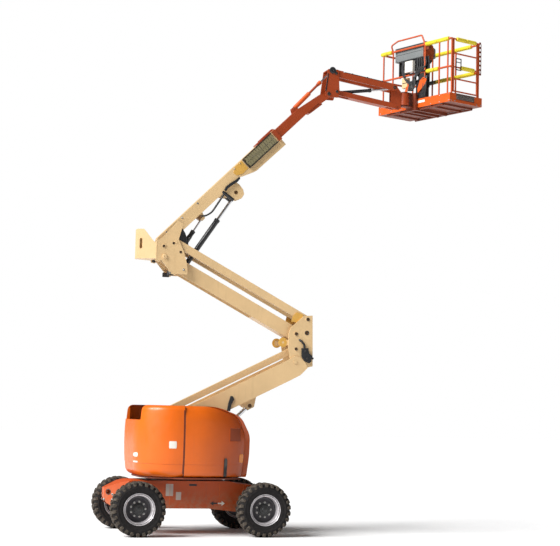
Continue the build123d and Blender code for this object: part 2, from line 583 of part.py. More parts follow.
with BuildPart() as main_boom:
    slab([(-88, -10), (-60, -40), (BOOM_END, BOOM_Z0), (BOOM_END, BOOM_Z1), (40, BOOM_Z1), (-88, 60)], -BOOM_W, BOOM_W, BOOM)
    slab([(70, BOOM_Z0 + 8), (BOOM_END + 5, BOOM_Z0 + 8), (BOOM_END + 5, BOOM_Z1 - 8), (70, BOOM_Z1 - 8)],
         -BOOM_W + 8, BOOM_W - 8, BOOM, mode=Mode.SUBTRACT)
    # front collar
    slab([(BOOM_END - 90, BOOM_Z0 - 10), (BOOM_END, BOOM_Z0 - 10), (BOOM_END, BOOM_Z1 + 10), (BOOM_END - 90, BOOM_Z1 + 10)],
         -BOOM_W - 6, BOOM_W + 6, BOOM)
    slab([(BOOM_END - 95, BOOM_Z0 + 8), (BOOM_END + 5, BOOM_Z0 + 8), (BOOM_END + 5, BOOM_Z1 - 8), (BOOM_END - 95, BOOM_Z1 - 8)],
         -BOOM_W + 8, BOOM_W - 8, BOOM, mode=Mode.SUBTRACT)
    # trough under the front half
    slab([(1740, BOOM_Z0), (2010, -146), (2690, -158), (2690, BOOM_Z0)], -BOOM_W, BOOM_W, BOOM)
    slab([(1790, BOOM_Z0 - 8), (2016, -138), (2700, -150), (2700, BOOM_Z0 - 8)], -BOOM_W + 8, BOOM_W - 8, BOOM, mode=Mode.SUBTRACT)
    # lugs of the lift cylinder and of the level cylinder
    slabs([(1250, -35), (1400, -215), (1440, -280), (1510, -310), (1590, -290), (1632, -220), (1640, -120), (1620, -35)], *RIB, plane=BOOM)
    slabs([(745, -35), (768, -142), (832, -142), (865, -35)], *RIB, plane=BOOM)
    slab([(560, -50), (990, -50), (990, -31.9), (560, -31.9)], -45, 45, BOOM, mode=Mode.SUBTRACT)
    pins((0, 0), 62, 90, 125, BOOM)
    pins((0, 0), 30.4, 60, 130, BOOM, Mode.SUBTRACT)
    pin((0, 0), 30.4, -70, 70, BOOM, Mode.SUBTRACT)
main_boom.part.label = "main_boom"
export_step(main_boom.part, "parts/main_boom.step")

with BuildPart() as cable_carrier:
    with BuildSketch(BOOM.offset(98)) as sk:
        with BuildLine():
            Polyline((2600, 128), (2040, 128))
            ThreePointArc((2040, 128), (1964, 50), (2040, -30))
            Polyline((2040, -30), (2600, -30), (2600, 128))
        make_face()
    extrude(sk.sketch, amount=29)
cable_carrier.part.label = "cable_carrier"
export_step(cable_carrier.part, "parts/cable_carrier.step")

with BuildPart() as fly_boom:
    slab([(560, FLY_Z0), (3720, FLY_Z0), (3745, 10), (3740, 58), (3260, FLY_Z1), (560, FLY_Z1)], -FLY_W, FLY_W, BOOM)
    slab([(550, FLY_Z0 + 7), (3640, FLY_Z0 + 7), (3640, 66), (3256, FLY_Z1 - 7), (550, FLY_Z1 - 7)],
         -FLY_W + 7, FLY_W - 7, BOOM, mode=Mode.SUBTRACT)
    # stepped gusset under the tip
    slab([(3345, -24), (3370, -62), (3640, -88), (3655, -24)], -62, 62, BOOM)
    # tip fork
    slabs([(3600, -60), (3800, -84), (3860, -74), (3884, -29), (3862, 18), (3810, 30), (3700, 50), (3600, 60)], 45, FLY_W, plane=BOOM)
    # lug of the tip level cylinder
    slabs([(3150, 130), (3190, 204), (3238, 204), (3290, 126)], 26, 40, plane=BOOM)
    pin((3214, 176), 12, -42, 42, BOOM)
    pins((3826, -29), 25.4, 40, 80, BOOM, Mode.SUBTRACT)
fly_boom.part.label = "fly_boom"
export_step(fly_boom.part, "parts/fly_boom.step")

rams("slave_cylinder_barrel", "slave_cylinder_rod", SLAVE_BASE, T_TIP, 21, 11, 12, 640, 600, 19)

# ===========================================================================
# JIB
# ===========================================================================
with BuildPart() as jib_bracket:
    slabs([(2092, 7168), (2088, 7262), (2128, 7640), (2312, 7640), (2336, 7250), (2310, 7168)], 120, 135, r=14)
    pin(Q_TIP, 25, -138, 138)
    pin(JL0, 18, -138, 138)
    pins(JU0, 18, 80, 138)
    pins(T_TIP, 12, 25, 122)
    slabs([(2136, 7622), (2196, 7622), (2196, 7640), (2136, 7640)], 28, 124)
jib_bracket.part.label = "jib_bracket"
export_step(jib_bracket.part, "parts/jib_bracket.step")

JU, JL = tilted(JU0, JIB_DEG), tilted(JL0, JIB_DEG)


def twin_bar(plane, half, y0, y1, r_bore):
    slabs([(0, -half), (JIB_LEN, -half), (JIB_LEN, half), (0, half)], y0, y1, plane)
    for x in (0, JIB_LEN):
        pins((x, 0), half, y0, y1, plane)
    slabs([(half + 20, -half + 6), (JIB_LEN - half - 20, -half + 6), (JIB_LEN - half - 20, half - 6), (half + 20, half - 6)],
          y0 + 5, y1 - 5, plane, mode=Mode.SUBTRACT)
    for x in (0, JIB_LEN):
        pins((x, 0), r_bore, y0 - 1, y1 + 1, plane, Mode.SUBTRACT)


with BuildPart() as jib_upper_arm:
    twin_bar(JU, 52, 84, 114, 18.4)
    slabs([(40, 30), (130, 30), (130, 68), (40, 68)], 90, 114, JU)
    box_run(JU, 40, 130, 58, 68, 112)
jib_upper_arm.part.label = "jib_upper_arm"
export_step(jib_upper_arm.part, "parts/jib_upper_arm.step")

with BuildPart() as jib_lower_arm:
    twin_bar(JL, 42, 47, 77, 18.4)
    box_run(JL, 250, 930, -42, -34, 75)
jib_lower_arm.part.label = "jib_lower_arm"
export_step(jib_lower_arm.part, "parts/jib_lower_arm.step")

rams("jib_cylinder_barrel", "jib_cylinder_rod", JL0, JU1, 28, 16, 18, 650, 640, 22)

with BuildPart() as platform_support:
    slabs([(3280, 7084), (3280, 7474), (3376, 7474), (3459, 7380), (3459, 7084)], 32, 42, r=12)
    slab([(3404, 7110), (3466, 7110), (3466, 7370), (3404, 7370)], -40, 40)
    post(ROT_X, 0, 76, 7158, 7358)
    pins(JU1, 18, 32, 118)
    pin(JL1, 18, -81, 81)
    post(ROT_X, 0, 20, 7125, 7390)
platform_support.part.label = "platform_support"
export_step(platform_support.part, "parts/platform_support.step")

# ===========================================================================
# PLATFORM: local x points out from the rotator, local y runs along it
# ===========================================================================
PC, PS = cos(radians(PLAT_DEG)), sin(radians(PLAT_DEG))
PLAT = Plane(origin=(SLEW_X + ROT_X, SLEW_Y, 0), x_dir=(PC, PS, 0), z_dir=(0, 0, 1))
PX0, PX1, PY = 215.0, 950.0, 885.0
TUBE = 17.0


def at(x, y, z):
    """Platform point in the part's frame."""
    return (SLEW_X + ROT_X + x * PC - y * PS, SLEW_Y + x * PS + y * PC, z)


def rail(p, q, r=TUBE, mode=Mode.ADD):
    run(at(*p), at(*q), r, mode)


def lug(z0, z1, x_end, half):
    """Flat lug round the rotator pin, reaching out to x_end."""
    with BuildSketch(PLAT.offset(z0)) as sk:
        Circle(half)
        with BuildLine():
            Polyline((0, -half), (x_end, -half), (x_end, half), (0, half), close=True)
        make_face()
    extrude(sk.sketch, amount=z1 - z0)


with BuildPart() as platform_floor:
    flat([(PX0, -PY), (PX1, -PY), (PX1, PY), (PX0, PY)], FLOOR_Z, FLOOR_Z + 14, plane=PLAT)
    # carrier: lugs over and under the rotator, upright plate, beams under the floor
    lug(7364, 7382, 190, 58)
    lug(7132, 7150, 190, 58)
    flat([(150, -120), (192, -120), (192, 120), (150, 120)], 7085, 7382, plane=PLAT)
    for y in (-120, 80):
        flat([(150, y), (PX1 - 60, y), (PX1 - 60, y + 40), (150, y + 40)], 7085, FLOOR_Z, plane=PLAT)
    post(0, 0, 20.4, 7100, 7420, mode=Mode.SUBTRACT, plane=PLAT)
platform_floor.part.label = "platform_floor"
export_step(platform_floor.part, "parts/platform_floor.step")

TOE_TOP = FLOOR_Z + 150
with BuildPart() as toe_boards:
    flat([(PX0 - 6, -PY - 6), (PX1 + 6, -PY - 6), (PX1 + 6, PY + 6), (PX0 - 6, PY + 6)], FLOOR_Z, TOE_TOP, plane=PLAT)
    flat([(PX0, -PY), (PX1, -PY), (PX1, PY), (PX0, PY)], FLOOR_Z - 20, TOE_TOP + 10, mode=Mode.SUBTRACT, plane=PLAT)
toe_boards.part.label = "toe_boards"
export_step(toe_boards.part, "parts/toe_boards.step")

X0, X1, Y1 = PX0 + 20, PX1 - 20, PY - 20
MID_Z = FLOOR_Z + 600
GATE_X0, GATE_X1 = X0 + 75, X1 - 75
CORNER = 45.0
# posts: x, y
XA, XB, YA = X0 + 2, X1 - 2, 2 - Y1
POSTS = [(XA, Y1 - 60), (XA, 560), (XA, -250), (XA, -600), (XA, -Y1 + 60), (XB, -Y1 + 60), (XB, -280), (XB, 300), (XB, Y1 - 60),
         (X0 + 38, YA), (X1 - 38, YA)]


def bent_rail(points, corner, r):
    """Bent round tube through platform points."""
    pts = [at(*p) for p in points]
    with BuildLine() as path:
        FilletPolyline(*pts, radius=corner)
    start = path.line @ 0
    heading = path.line % 0
    with BuildSketch(Plane(origin=start, z_dir=heading)) as sk:
        Circle(r)
    sweep(sk.sketch, path=path.line)


with BuildPart() as platform_rails:
    for z in (RAIL_Z, MID_Z):
        bent_rail([(X0 + 50, -Y1, z), (X0, -Y1, z), (X0, Y1, z), (X1, Y1, z), (X1, -Y1, z), (X1 - 50, -Y1, z)], CORNER, TUBE)
    for x, y in POSTS:
        rail((x, y, FLOOR_Z + 14), (x, y, RAIL_Z), 14)
    # hoop over the controls
    bent_rail([(X0, 560, RAIL_Z - 4), (X0 - 34, 575, RAIL_Z + 110), (X0 + 30, 480, RAIL_Z + 185), (X0 + 30, -130, RAIL_Z + 185),
               (X0, -250, RAIL_Z - 4)], 45, 14)
platform_rails.part.label = "platform_rails"
export_step(platform_rails.part, "parts/platform_rails.step")

GATE_Z = (FLOOR_Z + 190, FLOOR_Z + 400, MID_Z, FLOOR_Z + 830, RAIL_Z)
with BuildPart() as platform_gate:
    for x in (GATE_X0, GATE_X1):
        rail((x, -Y1, GATE_Z[0] - 12), (x, -Y1, GATE_Z[-1] + 12), 15)
    for z in GATE_Z:
        rail((GATE_X0 - 3, -Y1, z), (GATE_X1 + 3, -Y1, z), 13)
platform_gate.part.label = "platform_gate"
export_step(platform_gate.part, "parts/platform_gate.step")

# padded sleeves on the top and mid rails: side x, from y, to y, height
PADS = [(X0, 780, 600, RAIL_Z), (X0, -285, -570, RAIL_Z), (X1, 780, 330, RAIL_Z), (X1, 270, -250, RAIL_Z),
        (X1, -310, -780, RAIL_Z), (X1, 780, 330, MID_Z), (X1, 270, -250, MID_Z), (X1, -310, -780, MID_Z)]
with BuildPart() as rail_pads:
    for x, ya, yb, z in PADS:
        d = Vector(*at(x, yb, z)) - Vector(*at(x, ya, z))
        with BuildSketch(Plane(origin=at(x, ya, z), z_dir=d)) as sk:
            Circle(30)
            Circle(TUBE + 0.3, mode=Mode.SUBTRACT)
        extrude(sk.sketch, amount=d.length)
rail_pads.part.label = "rail_pads"
export_step(rail_pads.part, "parts/rail_pads.step")

with BuildPart() as control_console:
    # sloping box on the inner rail: local x out, z up, from y -190 to 520
    box = Plane(origin=at(0, 520, 0), x_dir=(PC, PS, 0), z_dir=(PS, -PC, 0))
    with BuildSketch(box) as sk:
        with BuildLine():
            Polyline((X0 + 24, RAIL_Z - 190), (X0 + 24, RAIL_Z + 50), (X0 + 120, RAIL_Z + 70), (X0 + 300, RAIL_Z - 40),
                     (X0 + 300, RAIL_Z - 190), close=True)
        make_face()
        fillet(sk.vertices(), 14)
    extrude(sk.sketch, amount=700)
    # shelf brackets down to the mid rail
    for y in (430, -110):
        arm = Plane(origin=at(0, y, 0), x_dir=(PC, PS, 0), z_dir=(PS, -PC, 0))
        with BuildSketch(arm) as sk:
            with BuildLine():
                Polyline((X0 + 20, RAIL_Z - 200), (X0 + 290, RAIL_Z - 200), (X0 + 290, RAIL_Z - 225), (X0 + 50, MID_Z - 10), (X0 + 20, MID_Z - 10), close=True)
            make_face()
        extrude(sk.sketch, amount=16)
    rail((X0 + 34, 432, RAIL_Z - 195), (X0 + 34, -126, RAIL_Z - 195), 14)
control_console.part.label = "control_console"
export_step(control_console.part, "parts/control_console.step")
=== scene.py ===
import math
import random
import bpy
import bmesh
from mathutils import Vector, Matrix


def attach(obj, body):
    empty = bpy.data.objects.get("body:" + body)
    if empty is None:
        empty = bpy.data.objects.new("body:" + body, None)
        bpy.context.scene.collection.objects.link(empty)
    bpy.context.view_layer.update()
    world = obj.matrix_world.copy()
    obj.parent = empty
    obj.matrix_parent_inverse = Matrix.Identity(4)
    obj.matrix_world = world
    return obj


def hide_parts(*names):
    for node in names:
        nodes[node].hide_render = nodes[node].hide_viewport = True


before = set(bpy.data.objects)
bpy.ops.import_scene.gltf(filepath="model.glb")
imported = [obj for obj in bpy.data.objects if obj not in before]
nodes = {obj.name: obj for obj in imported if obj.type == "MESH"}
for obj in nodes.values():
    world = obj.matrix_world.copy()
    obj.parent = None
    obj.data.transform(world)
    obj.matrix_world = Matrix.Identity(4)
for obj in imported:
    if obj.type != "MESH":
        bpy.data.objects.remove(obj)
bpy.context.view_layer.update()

scene = bpy.context.scene

# The slew axis in the row frame. Lengths below are metres from that axis.
SX, SY = -1.668755, -0.093207


def G(x, y, z):
    return Vector((x + SX, y + SY, z))


# ---------------------------------------------------------------- camera
cam_data = bpy.data.cameras.new("camera")
cam = bpy.data.objects.new("camera", cam_data)
scene.collection.objects.link(cam)
right = Vector((0.95893677, -0.28260037, 0.02402712))
up = Vector((-0.04835683, -0.07943424, 0.99566652))
look = Vector((0.27946715, 0.95594311, 0.08983808))
m = Matrix((right, up, -look)).transposed().to_4x4()
m.translation = Vector((-5.55961 + SX, -23.86089 + SY, 1.96264))
cam.matrix_world = m
cam_data.sensor_fit = "HORIZONTAL"
cam_data.sensor_width = 36.0
cam_data.lens = 1523.43 / 560 * 36
cam_data.clip_end = 400
scene.camera = cam


# ---------------------------------------------------------------- materials
def srgb(r, g, b):
    def f(c):
        c = c / 255
        return c / 12.92 if c <= 0.04045 else ((c + 0.055) / 1.055) ** 2.4
    return (f(r), f(g), f(b), 1.0)


class Nodes:
    def __init__(self, name):
        self.mat = bpy.data.materials.new(name)
        self.mat.use_nodes = True
        self.t = self.mat.node_tree
        self.t.nodes.clear()
        self.out = self.t.nodes.new("ShaderNodeOutputMaterial")
        self.p = self.t.nodes.new("ShaderNodeBsdfPrincipled")
        self.link(self.p.outputs[0], self.out.inputs["Surface"])
        self.co = self.t.nodes.new("ShaderNodeTexCoord").outputs["Object"]

    def new(self, kind, **values):
        n = self.t.nodes.new(kind)
        for k, v in values.items():
            setattr(n, k, v)
        return n

    def link(self, a, b):
        self.t.links.new(a, b)

    def noise(self, scale, detail=3.0, rough=0.5, stretch=None, out="Fac", distortion=0.0):
        n = self.new("ShaderNodeTexNoise")
        n.inputs["Scale"].default_value = scale
        n.inputs["Detail"].default_value = detail
        n.inputs["Roughness"].default_value = rough
        n.inputs["Distortion"].default_value = distortion
        src = self.co
        if stretch:
            mp = self.new("ShaderNodeMapping")
            mp.inputs["Scale"].default_value = stretch
            self.link(src, mp.inputs["Vector"])
            src = mp.outputs[0]
        self.link(src, n.inputs["Vector"])
        return n.outputs[out]

    def ramp(self, src, stops):
        r = self.new("ShaderNodeValToRGB")
        el = r.color_ramp.elements
        while len(el) > 1:
            el.remove(el[-1])
        el[0].position, el[0].color = stops[0][0], stops[0][1]
        for pos, col in stops[1:]:
            e = el.new(pos)
            e.color = col
        self.link(src, r.inputs[0])
        return r.outputs[0]

    def span(self, src, lo, hi, a=0.0, b=1.0):
        r = self.new("ShaderNodeMapRange")
        r.inputs["From Min"].default_value = lo
        r.inputs["From Max"].default_value = hi
        r.inputs["To Min"].default_value = a
        r.inputs["To Max"].default_value = b
        self.link(src, r.inputs["Value"])
        return r.outputs[0]

    def math(self, op, a, b=None):
        n = self.new("ShaderNodeMath", operation=op)
        for i, v in enumerate((a, b)):
            if v is None:
                continue
            if isinstance(v, (int, float)):
                n.inputs[i].default_value = v
            else:
                self.link(v, n.inputs[i])
        return n.outputs[0]

    def mix(self, fac, a, b, blend="MIX"):
        n = self.new("ShaderNodeMix", data_type="RGBA", blend_type=blend)
        for key, v in ((0, fac), (6, a), (7, b)):
            if isinstance(v, (int, float)):
                n.inputs[key].default_value = v
            elif isinstance(v, tuple):
                n.inputs[key].default_value = v
            else:
                self.link(v, n.inputs[key])
        return n.outputs[2]

    def edge(self, radius, lo=0.02, hi=0.25):
        """Mask that is 1 along sharp outer and inner edges."""
        bev = self.new("ShaderNodeBevel", samples=4)
        bev.inputs["Radius"].default_value = radius
        geo = self.new("ShaderNodeNewGeometry")
        dot = self.new("ShaderNodeVectorMath", operation="DOT_PRODUCT")
        self.link(bev.outputs[0], dot.inputs[0])
        self.link(geo.outputs["True Normal"], dot.inputs[1])
        return self.span(self.math("SUBTRACT", 1.0, dot.outputs["Value"]), lo, hi), bev.outputs[0]

    def bump(self, height, distance, strength=1.0, normal=None):
        b = self.new("ShaderNodeBump")
        b.inputs["Distance"].default_value = distance
        b.inputs["Strength"].default_value = strength
        self.link(height, b.inputs["Height"])
        if normal is not None:
            self.link(normal, b.inputs["Normal"])
        return b.outputs[0]

    def color(self, src):
        self.link(src, self.p.inputs["Base Color"])
        return self

    def rough(self, src):
        self.link(src, self.p.inputs["Roughness"])
        return self

    def normal(self, src):
        self.link(src, self.p.inputs["Normal"])
        return self

    def put(self, **values):
        for k, v in values.items():
            self.p.inputs[k.replace("_", " ")].default_value = v
        return self


def shade(c, k):
    return (c[0] * k, c[1] * k, c[2] * k, 1.0)


def paint(name, base, rough=0.34, coat=0.35, chip=(0.30, 0.29, 0.28, 1), chips=0.5, dirt=(0.10, 0.075, 0.05, 1),
          grime=0.5, bevel=0.004, low=None):
    """Sprayed paint on plate: slow colour drift, orange peel, worn edges, grime and rain streaks."""
    n = Nodes(name)
    drift = n.noise(2.2, 4, 0.55)
    body = n.mix(n.span(drift, 0.3, 0.7), shade(base, 0.93), shade(base, 1.05))
    mott = n.noise(26, 5, 0.6)
    body = n.mix(n.span(mott, 0.35, 0.75, 0, 0.10), body, shade(base, 0.80))
    streak = n.noise(5, 5, 0.62, stretch=(3.2, 3.2, 0.30))
    streak = n.math("MULTIPLY", n.span(streak, 0.56, 0.76), 0.22 * grime)
    body = n.mix(streak, body, dirt)
    if low:
        sep = n.new("ShaderNodeSeparateXYZ")
        n.link(n.co, sep.inputs[0])
        mud = n.span(sep.outputs["Z"], low[0], low[1], 1.0, 0.0)
        mud = n.math("MULTIPLY", mud, n.span(n.noise(14, 6, 0.65), 0.38, 0.66))
        body = n.mix(n.math("MULTIPLY", mud, 0.55), body, srgb(150, 128, 100))
    edge, soft = n.edge(bevel)
    worn = n.math("MULTIPLY", edge, n.span(n.noise(38, 6, 0.7), 0.50, 0.66, 0, chips))
    body = n.mix(worn, body, chip)
    n.color(body)
    n.rough(n.span(n.noise(9, 5, 0.6), 0.3, 0.7, rough - 0.06, rough + 0.12))
    peel = n.noise(420, 2, 0.5)
    n.normal(n.bump(peel, 0.0004, 0.25, soft))
    n.put(Coat_Weight=coat, Coat_Roughness=0.18)
    return n.mat


def plastic(name, base, rough=0.5, vary=0.08, grain=900, depth=0.0004, dust=0.12, dusty=(0.35, 0.32, 0.27, 1), bevel=0.003):
    n = Nodes(name)
    body = n.mix(n.span(n.noise(7, 5, 0.6), 0.3, 0.7), shade(base, 1 - vary), shade(base, 1 + vary))
    body = n.mix(n.math("MULTIPLY", n.span(n.noise(20, 6, 0.7), 0.5, 0.75), dust), body, dusty)
    n.color(body)
    n.rough(n.span(n.noise(30, 4, 0.6), 0.3, 0.7, rough - 0.08, rough + 0.1))
    e, soft = n.edge(bevel)
    n.normal(n.bump(n.noise(grain, 3, 0.6), depth, 0.5, soft))
    return n.mat


def metal(name, base, rough=0.3, vary=0.1, scale=60, stretch=None, bevel=0.003):
    n = Nodes(name)
    scr = n.noise(scale, 5, 0.65, stretch=stretch)
    n.color(n.mix(n.span(scr, 0.3, 0.7), shade(base, 1 - vary), shade(base, 1 + vary)))
    n.rough(n.span(scr, 0.3, 0.7, max(rough - 0.08, 0.04), rough + 0.14))
    e, soft = n.edge(bevel)
    n.normal(n.bump(n.noise(scale * 7, 3, 0.6, stretch=stretch), 0.0003, 0.25, soft))
    n.put(Metallic=1.0)
    return n.mat


ORANGE, CREAM = srgb(222, 98, 14), srgb(224, 190, 140)
M = {}
M["orange"] = paint("orange_paint", srgb(206, 84, 16), 0.40, 0.12, chip=srgb(120, 58, 30), chips=0.35)
M["orange_low"] = paint("orange_paint_low", srgb(190, 76, 12), 0.48, 0.06, chip=srgb(110, 56, 30), chips=0.4, grime=0.8, low=(0.38, 0.75))
# darker copy of the orange paint: painted shade on the fly boom, jib, jib bracket, platform support, slave cylinder
# barrel, boom tip guard and the console's side panel
M["boom_orange_painted_shade"] = paint("orange_boom_painted_shade", srgb(158, 62, 20), 0.42, 0.12, chip=srgb(96, 48, 28), chips=0.4, grime=0.8)
M["cover"] = paint("orange_cover", srgb(222, 100, 2), 0.36, 0.16, chips=0.06, grime=0.30, bevel=0.006)
# dark orange laid inside the hood grabs as painted shade
M["cover_shade"] = paint("orange_cover_shade", srgb(140, 56, 12), 0.42, 0.10, chips=0.05, grime=0.5, bevel=0.004)
M["cream"] = paint("cream_paint", CREAM, 0.40, 0.2, chip=srgb(120, 92, 60), chips=0.55, dirt=srgb(120, 92, 60), grime=0.6)
M["black"] = paint("black_paint", (0.018, 0.018, 0.02, 1), 0.36, 0.2, chip=(0.16, 0.15, 0.14, 1), chips=0.35, dirt=(0.10, 0.09, 0.08, 1), grime=0.5)
M["axle"] = paint("axle_paint", (0.022, 0.021, 0.021, 1), 0.5, 0.05, chip=(0.14, 0.12, 0.10, 1), chips=0.4, dirt=(0.20, 0.17, 0.13, 1), grime=1.0)
M["chrome"] = metal("rod_chrome", (0.62, 0.62, 0.64, 1), 0.10, 0.05, 40, stretch=(1, 1, 6))
M["steel"] = metal("zinc_steel", (0.45, 0.44, 0.42, 1), 0.36, 0.14, 90)
M["dark_steel"] = metal("dark_steel", (0.10, 0.095, 0.09, 1), 0.42, 0.2, 70)
M["casting"] = plastic("engine_casting", (0.03, 0.03, 0.032, 1), 0.6, 0.3, 120, 0.002)
M["hose"] = plastic("hose_rubber", (0.014, 0.014, 0.015, 1), 0.48, 0.2, 500, 0.0003, dust=0.10)
M["rubber"] = plastic("black_rubber", (0.02, 0.02, 0.021, 1), 0.62, 0.2, 300, 0.0006, dust=0.2)
M["console"] = plastic("console_grey", srgb(112, 116, 116), 0.45, 0.06, 700, 0.0004, dust=0.06)
M["console_dark"] = plastic("console_dark", srgb(46, 47, 48), 0.5, 0.08, 700, 0.0004, dust=0.08)
M["carrier"] = plastic("carrier_plastic", srgb(128, 120, 88), 0.55, 0.10, 300, 0.0006, dust=0.25)
M["white_box"] = plastic("white_box", srgb(232, 228, 218), 0.42, 0.04, 600, 0.0003, dust=0.05)
M["blank"] = plastic("blank_label", srgb(226, 222, 212), 0.38, 0.05, 900, 0.0001, dust=0.08, bevel=0.0008)
M["blank_grey"] = plastic("blank_label_grey", srgb(192, 178, 168), 0.45, 0.08, 900, 0.0001, dust=0.12, bevel=0.0008)
M["red"] = plastic("red_knob", srgb(176, 28, 18), 0.35, 0.06, 700, 0.0002, dust=0.04)
M["amber"] = plastic("amber_lens", srgb(230, 130, 20), 0.2, 0.06, 300, 0.0004, dust=0.04)
M["weld"] = paint("weld_cream", shade(CREAM, 0.94), 0.45, 0.1, chips=0.2, grime=0.7, bevel=0.002)
M["weld_orange"] = paint("weld_orange", shade(ORANGE, 0.9), 0.45, 0.1, chips=0.2, grime=0.8, bevel=0.002)
M["pad_dark"] = plastic("dark_foam", (0.02, 0.02, 0.018, 1), 0.7, 0.2, 200, 0.001, dust=0.2)
M["pad_tape"] = plastic("yellow_tape", srgb(196, 160, 20), 0.4, 0.06, 600, 0.0003, dust=0.08)
# darker copy of the orange paint, used as painted shade on parts that sit in shade: the turntable frame under the
# hoods, the seam strips, the platform floor and the plates and ribs round and under it
M["deck_painted_shade"] = paint("deck_orange_painted_shade", srgb(112, 44, 14), 0.5, 0.06, chip=srgb(80, 44, 26), chips=0.4, dirt=srgb(46, 34, 26), grime=1.0)
M["brown"] = metal("oily_pin", (0.16, 0.085, 0.04, 1), 0.4, 0.3, 60)
M["mesh_grey"] = metal("expanded_mesh", (0.30, 0.27, 0.25, 1), 0.5, 0.2, 90)
M["gold"] = plastic("ochre_cover", srgb(214, 164, 74), 0.42, 0.08, 500, 0.0004, dust=0.1)


def shade_copy_along_x(name, src, x0, x1, shade_tone):
    """Copy of a paint with painted shade: it darkens towards a deeper tone between two distances along the machine."""
    mt = src.copy()
    mt.name = name
    t = mt.node_tree
    bsdf = next(n for n in t.nodes if n.type == "BSDF_PRINCIPLED")
    old = bsdf.inputs["Base Color"].links[0].from_socket
    co = t.nodes.new("ShaderNodeTexCoord")
    sep = t.nodes.new("ShaderNodeSeparateXYZ")
    t.links.new(co.outputs["Object"], sep.inputs[0])
    ramp = t.nodes.new("ShaderNodeMapRange")
    ramp.interpolation_type = "SMOOTHSTEP"
    ramp.inputs["From Min"].default_value = x0 + SX
    ramp.inputs["From Max"].default_value = x1 + SX
    t.links.new(sep.outputs["X"], ramp.inputs["Value"])
    mix = t.nodes.new("ShaderNodeMix")
    mix.data_type = "RGBA"
    mix.blend_type = "MULTIPLY"
    t.links.new(ramp.outputs[0], mix.inputs[0])
    t.links.new(old, mix.inputs[6])
    mix.inputs[7].default_value = shade_tone
    t.links.new(mix.outputs[2], bsdf.inputs["Base Color"])
    return mt


# the hood covers darken from the seam towards the nose: painted shade for the light falling off round the curved hoods
M["cover_hood"] = shade_copy_along_x("orange_hood_painted_shade", M["cover"], -0.20, 0.62, (0.62, 0.52, 0.60, 1))
M["rail"] = paint("orange_rails", srgb(192, 78, 26), 0.42, 0.12, chip=srgb(110, 54, 30), chips=0.4, grime=0.8)


# ---------------------------------------------------------------- mesh building
def frame_of(origin, deg=0.0):
    """Maps (along, lateral y, above) in a side plane at a pin (x, z) turned by deg to the row frame."""
    c, s = math.cos(math.radians(deg)), math.sin(math.radians(deg))

    def to(a, y, b):
        return G(origin[0] + a * c - b * s, y, origin[1] + a * s + b * c)
    return to


LEVEL = frame_of((0.0, 0.0))


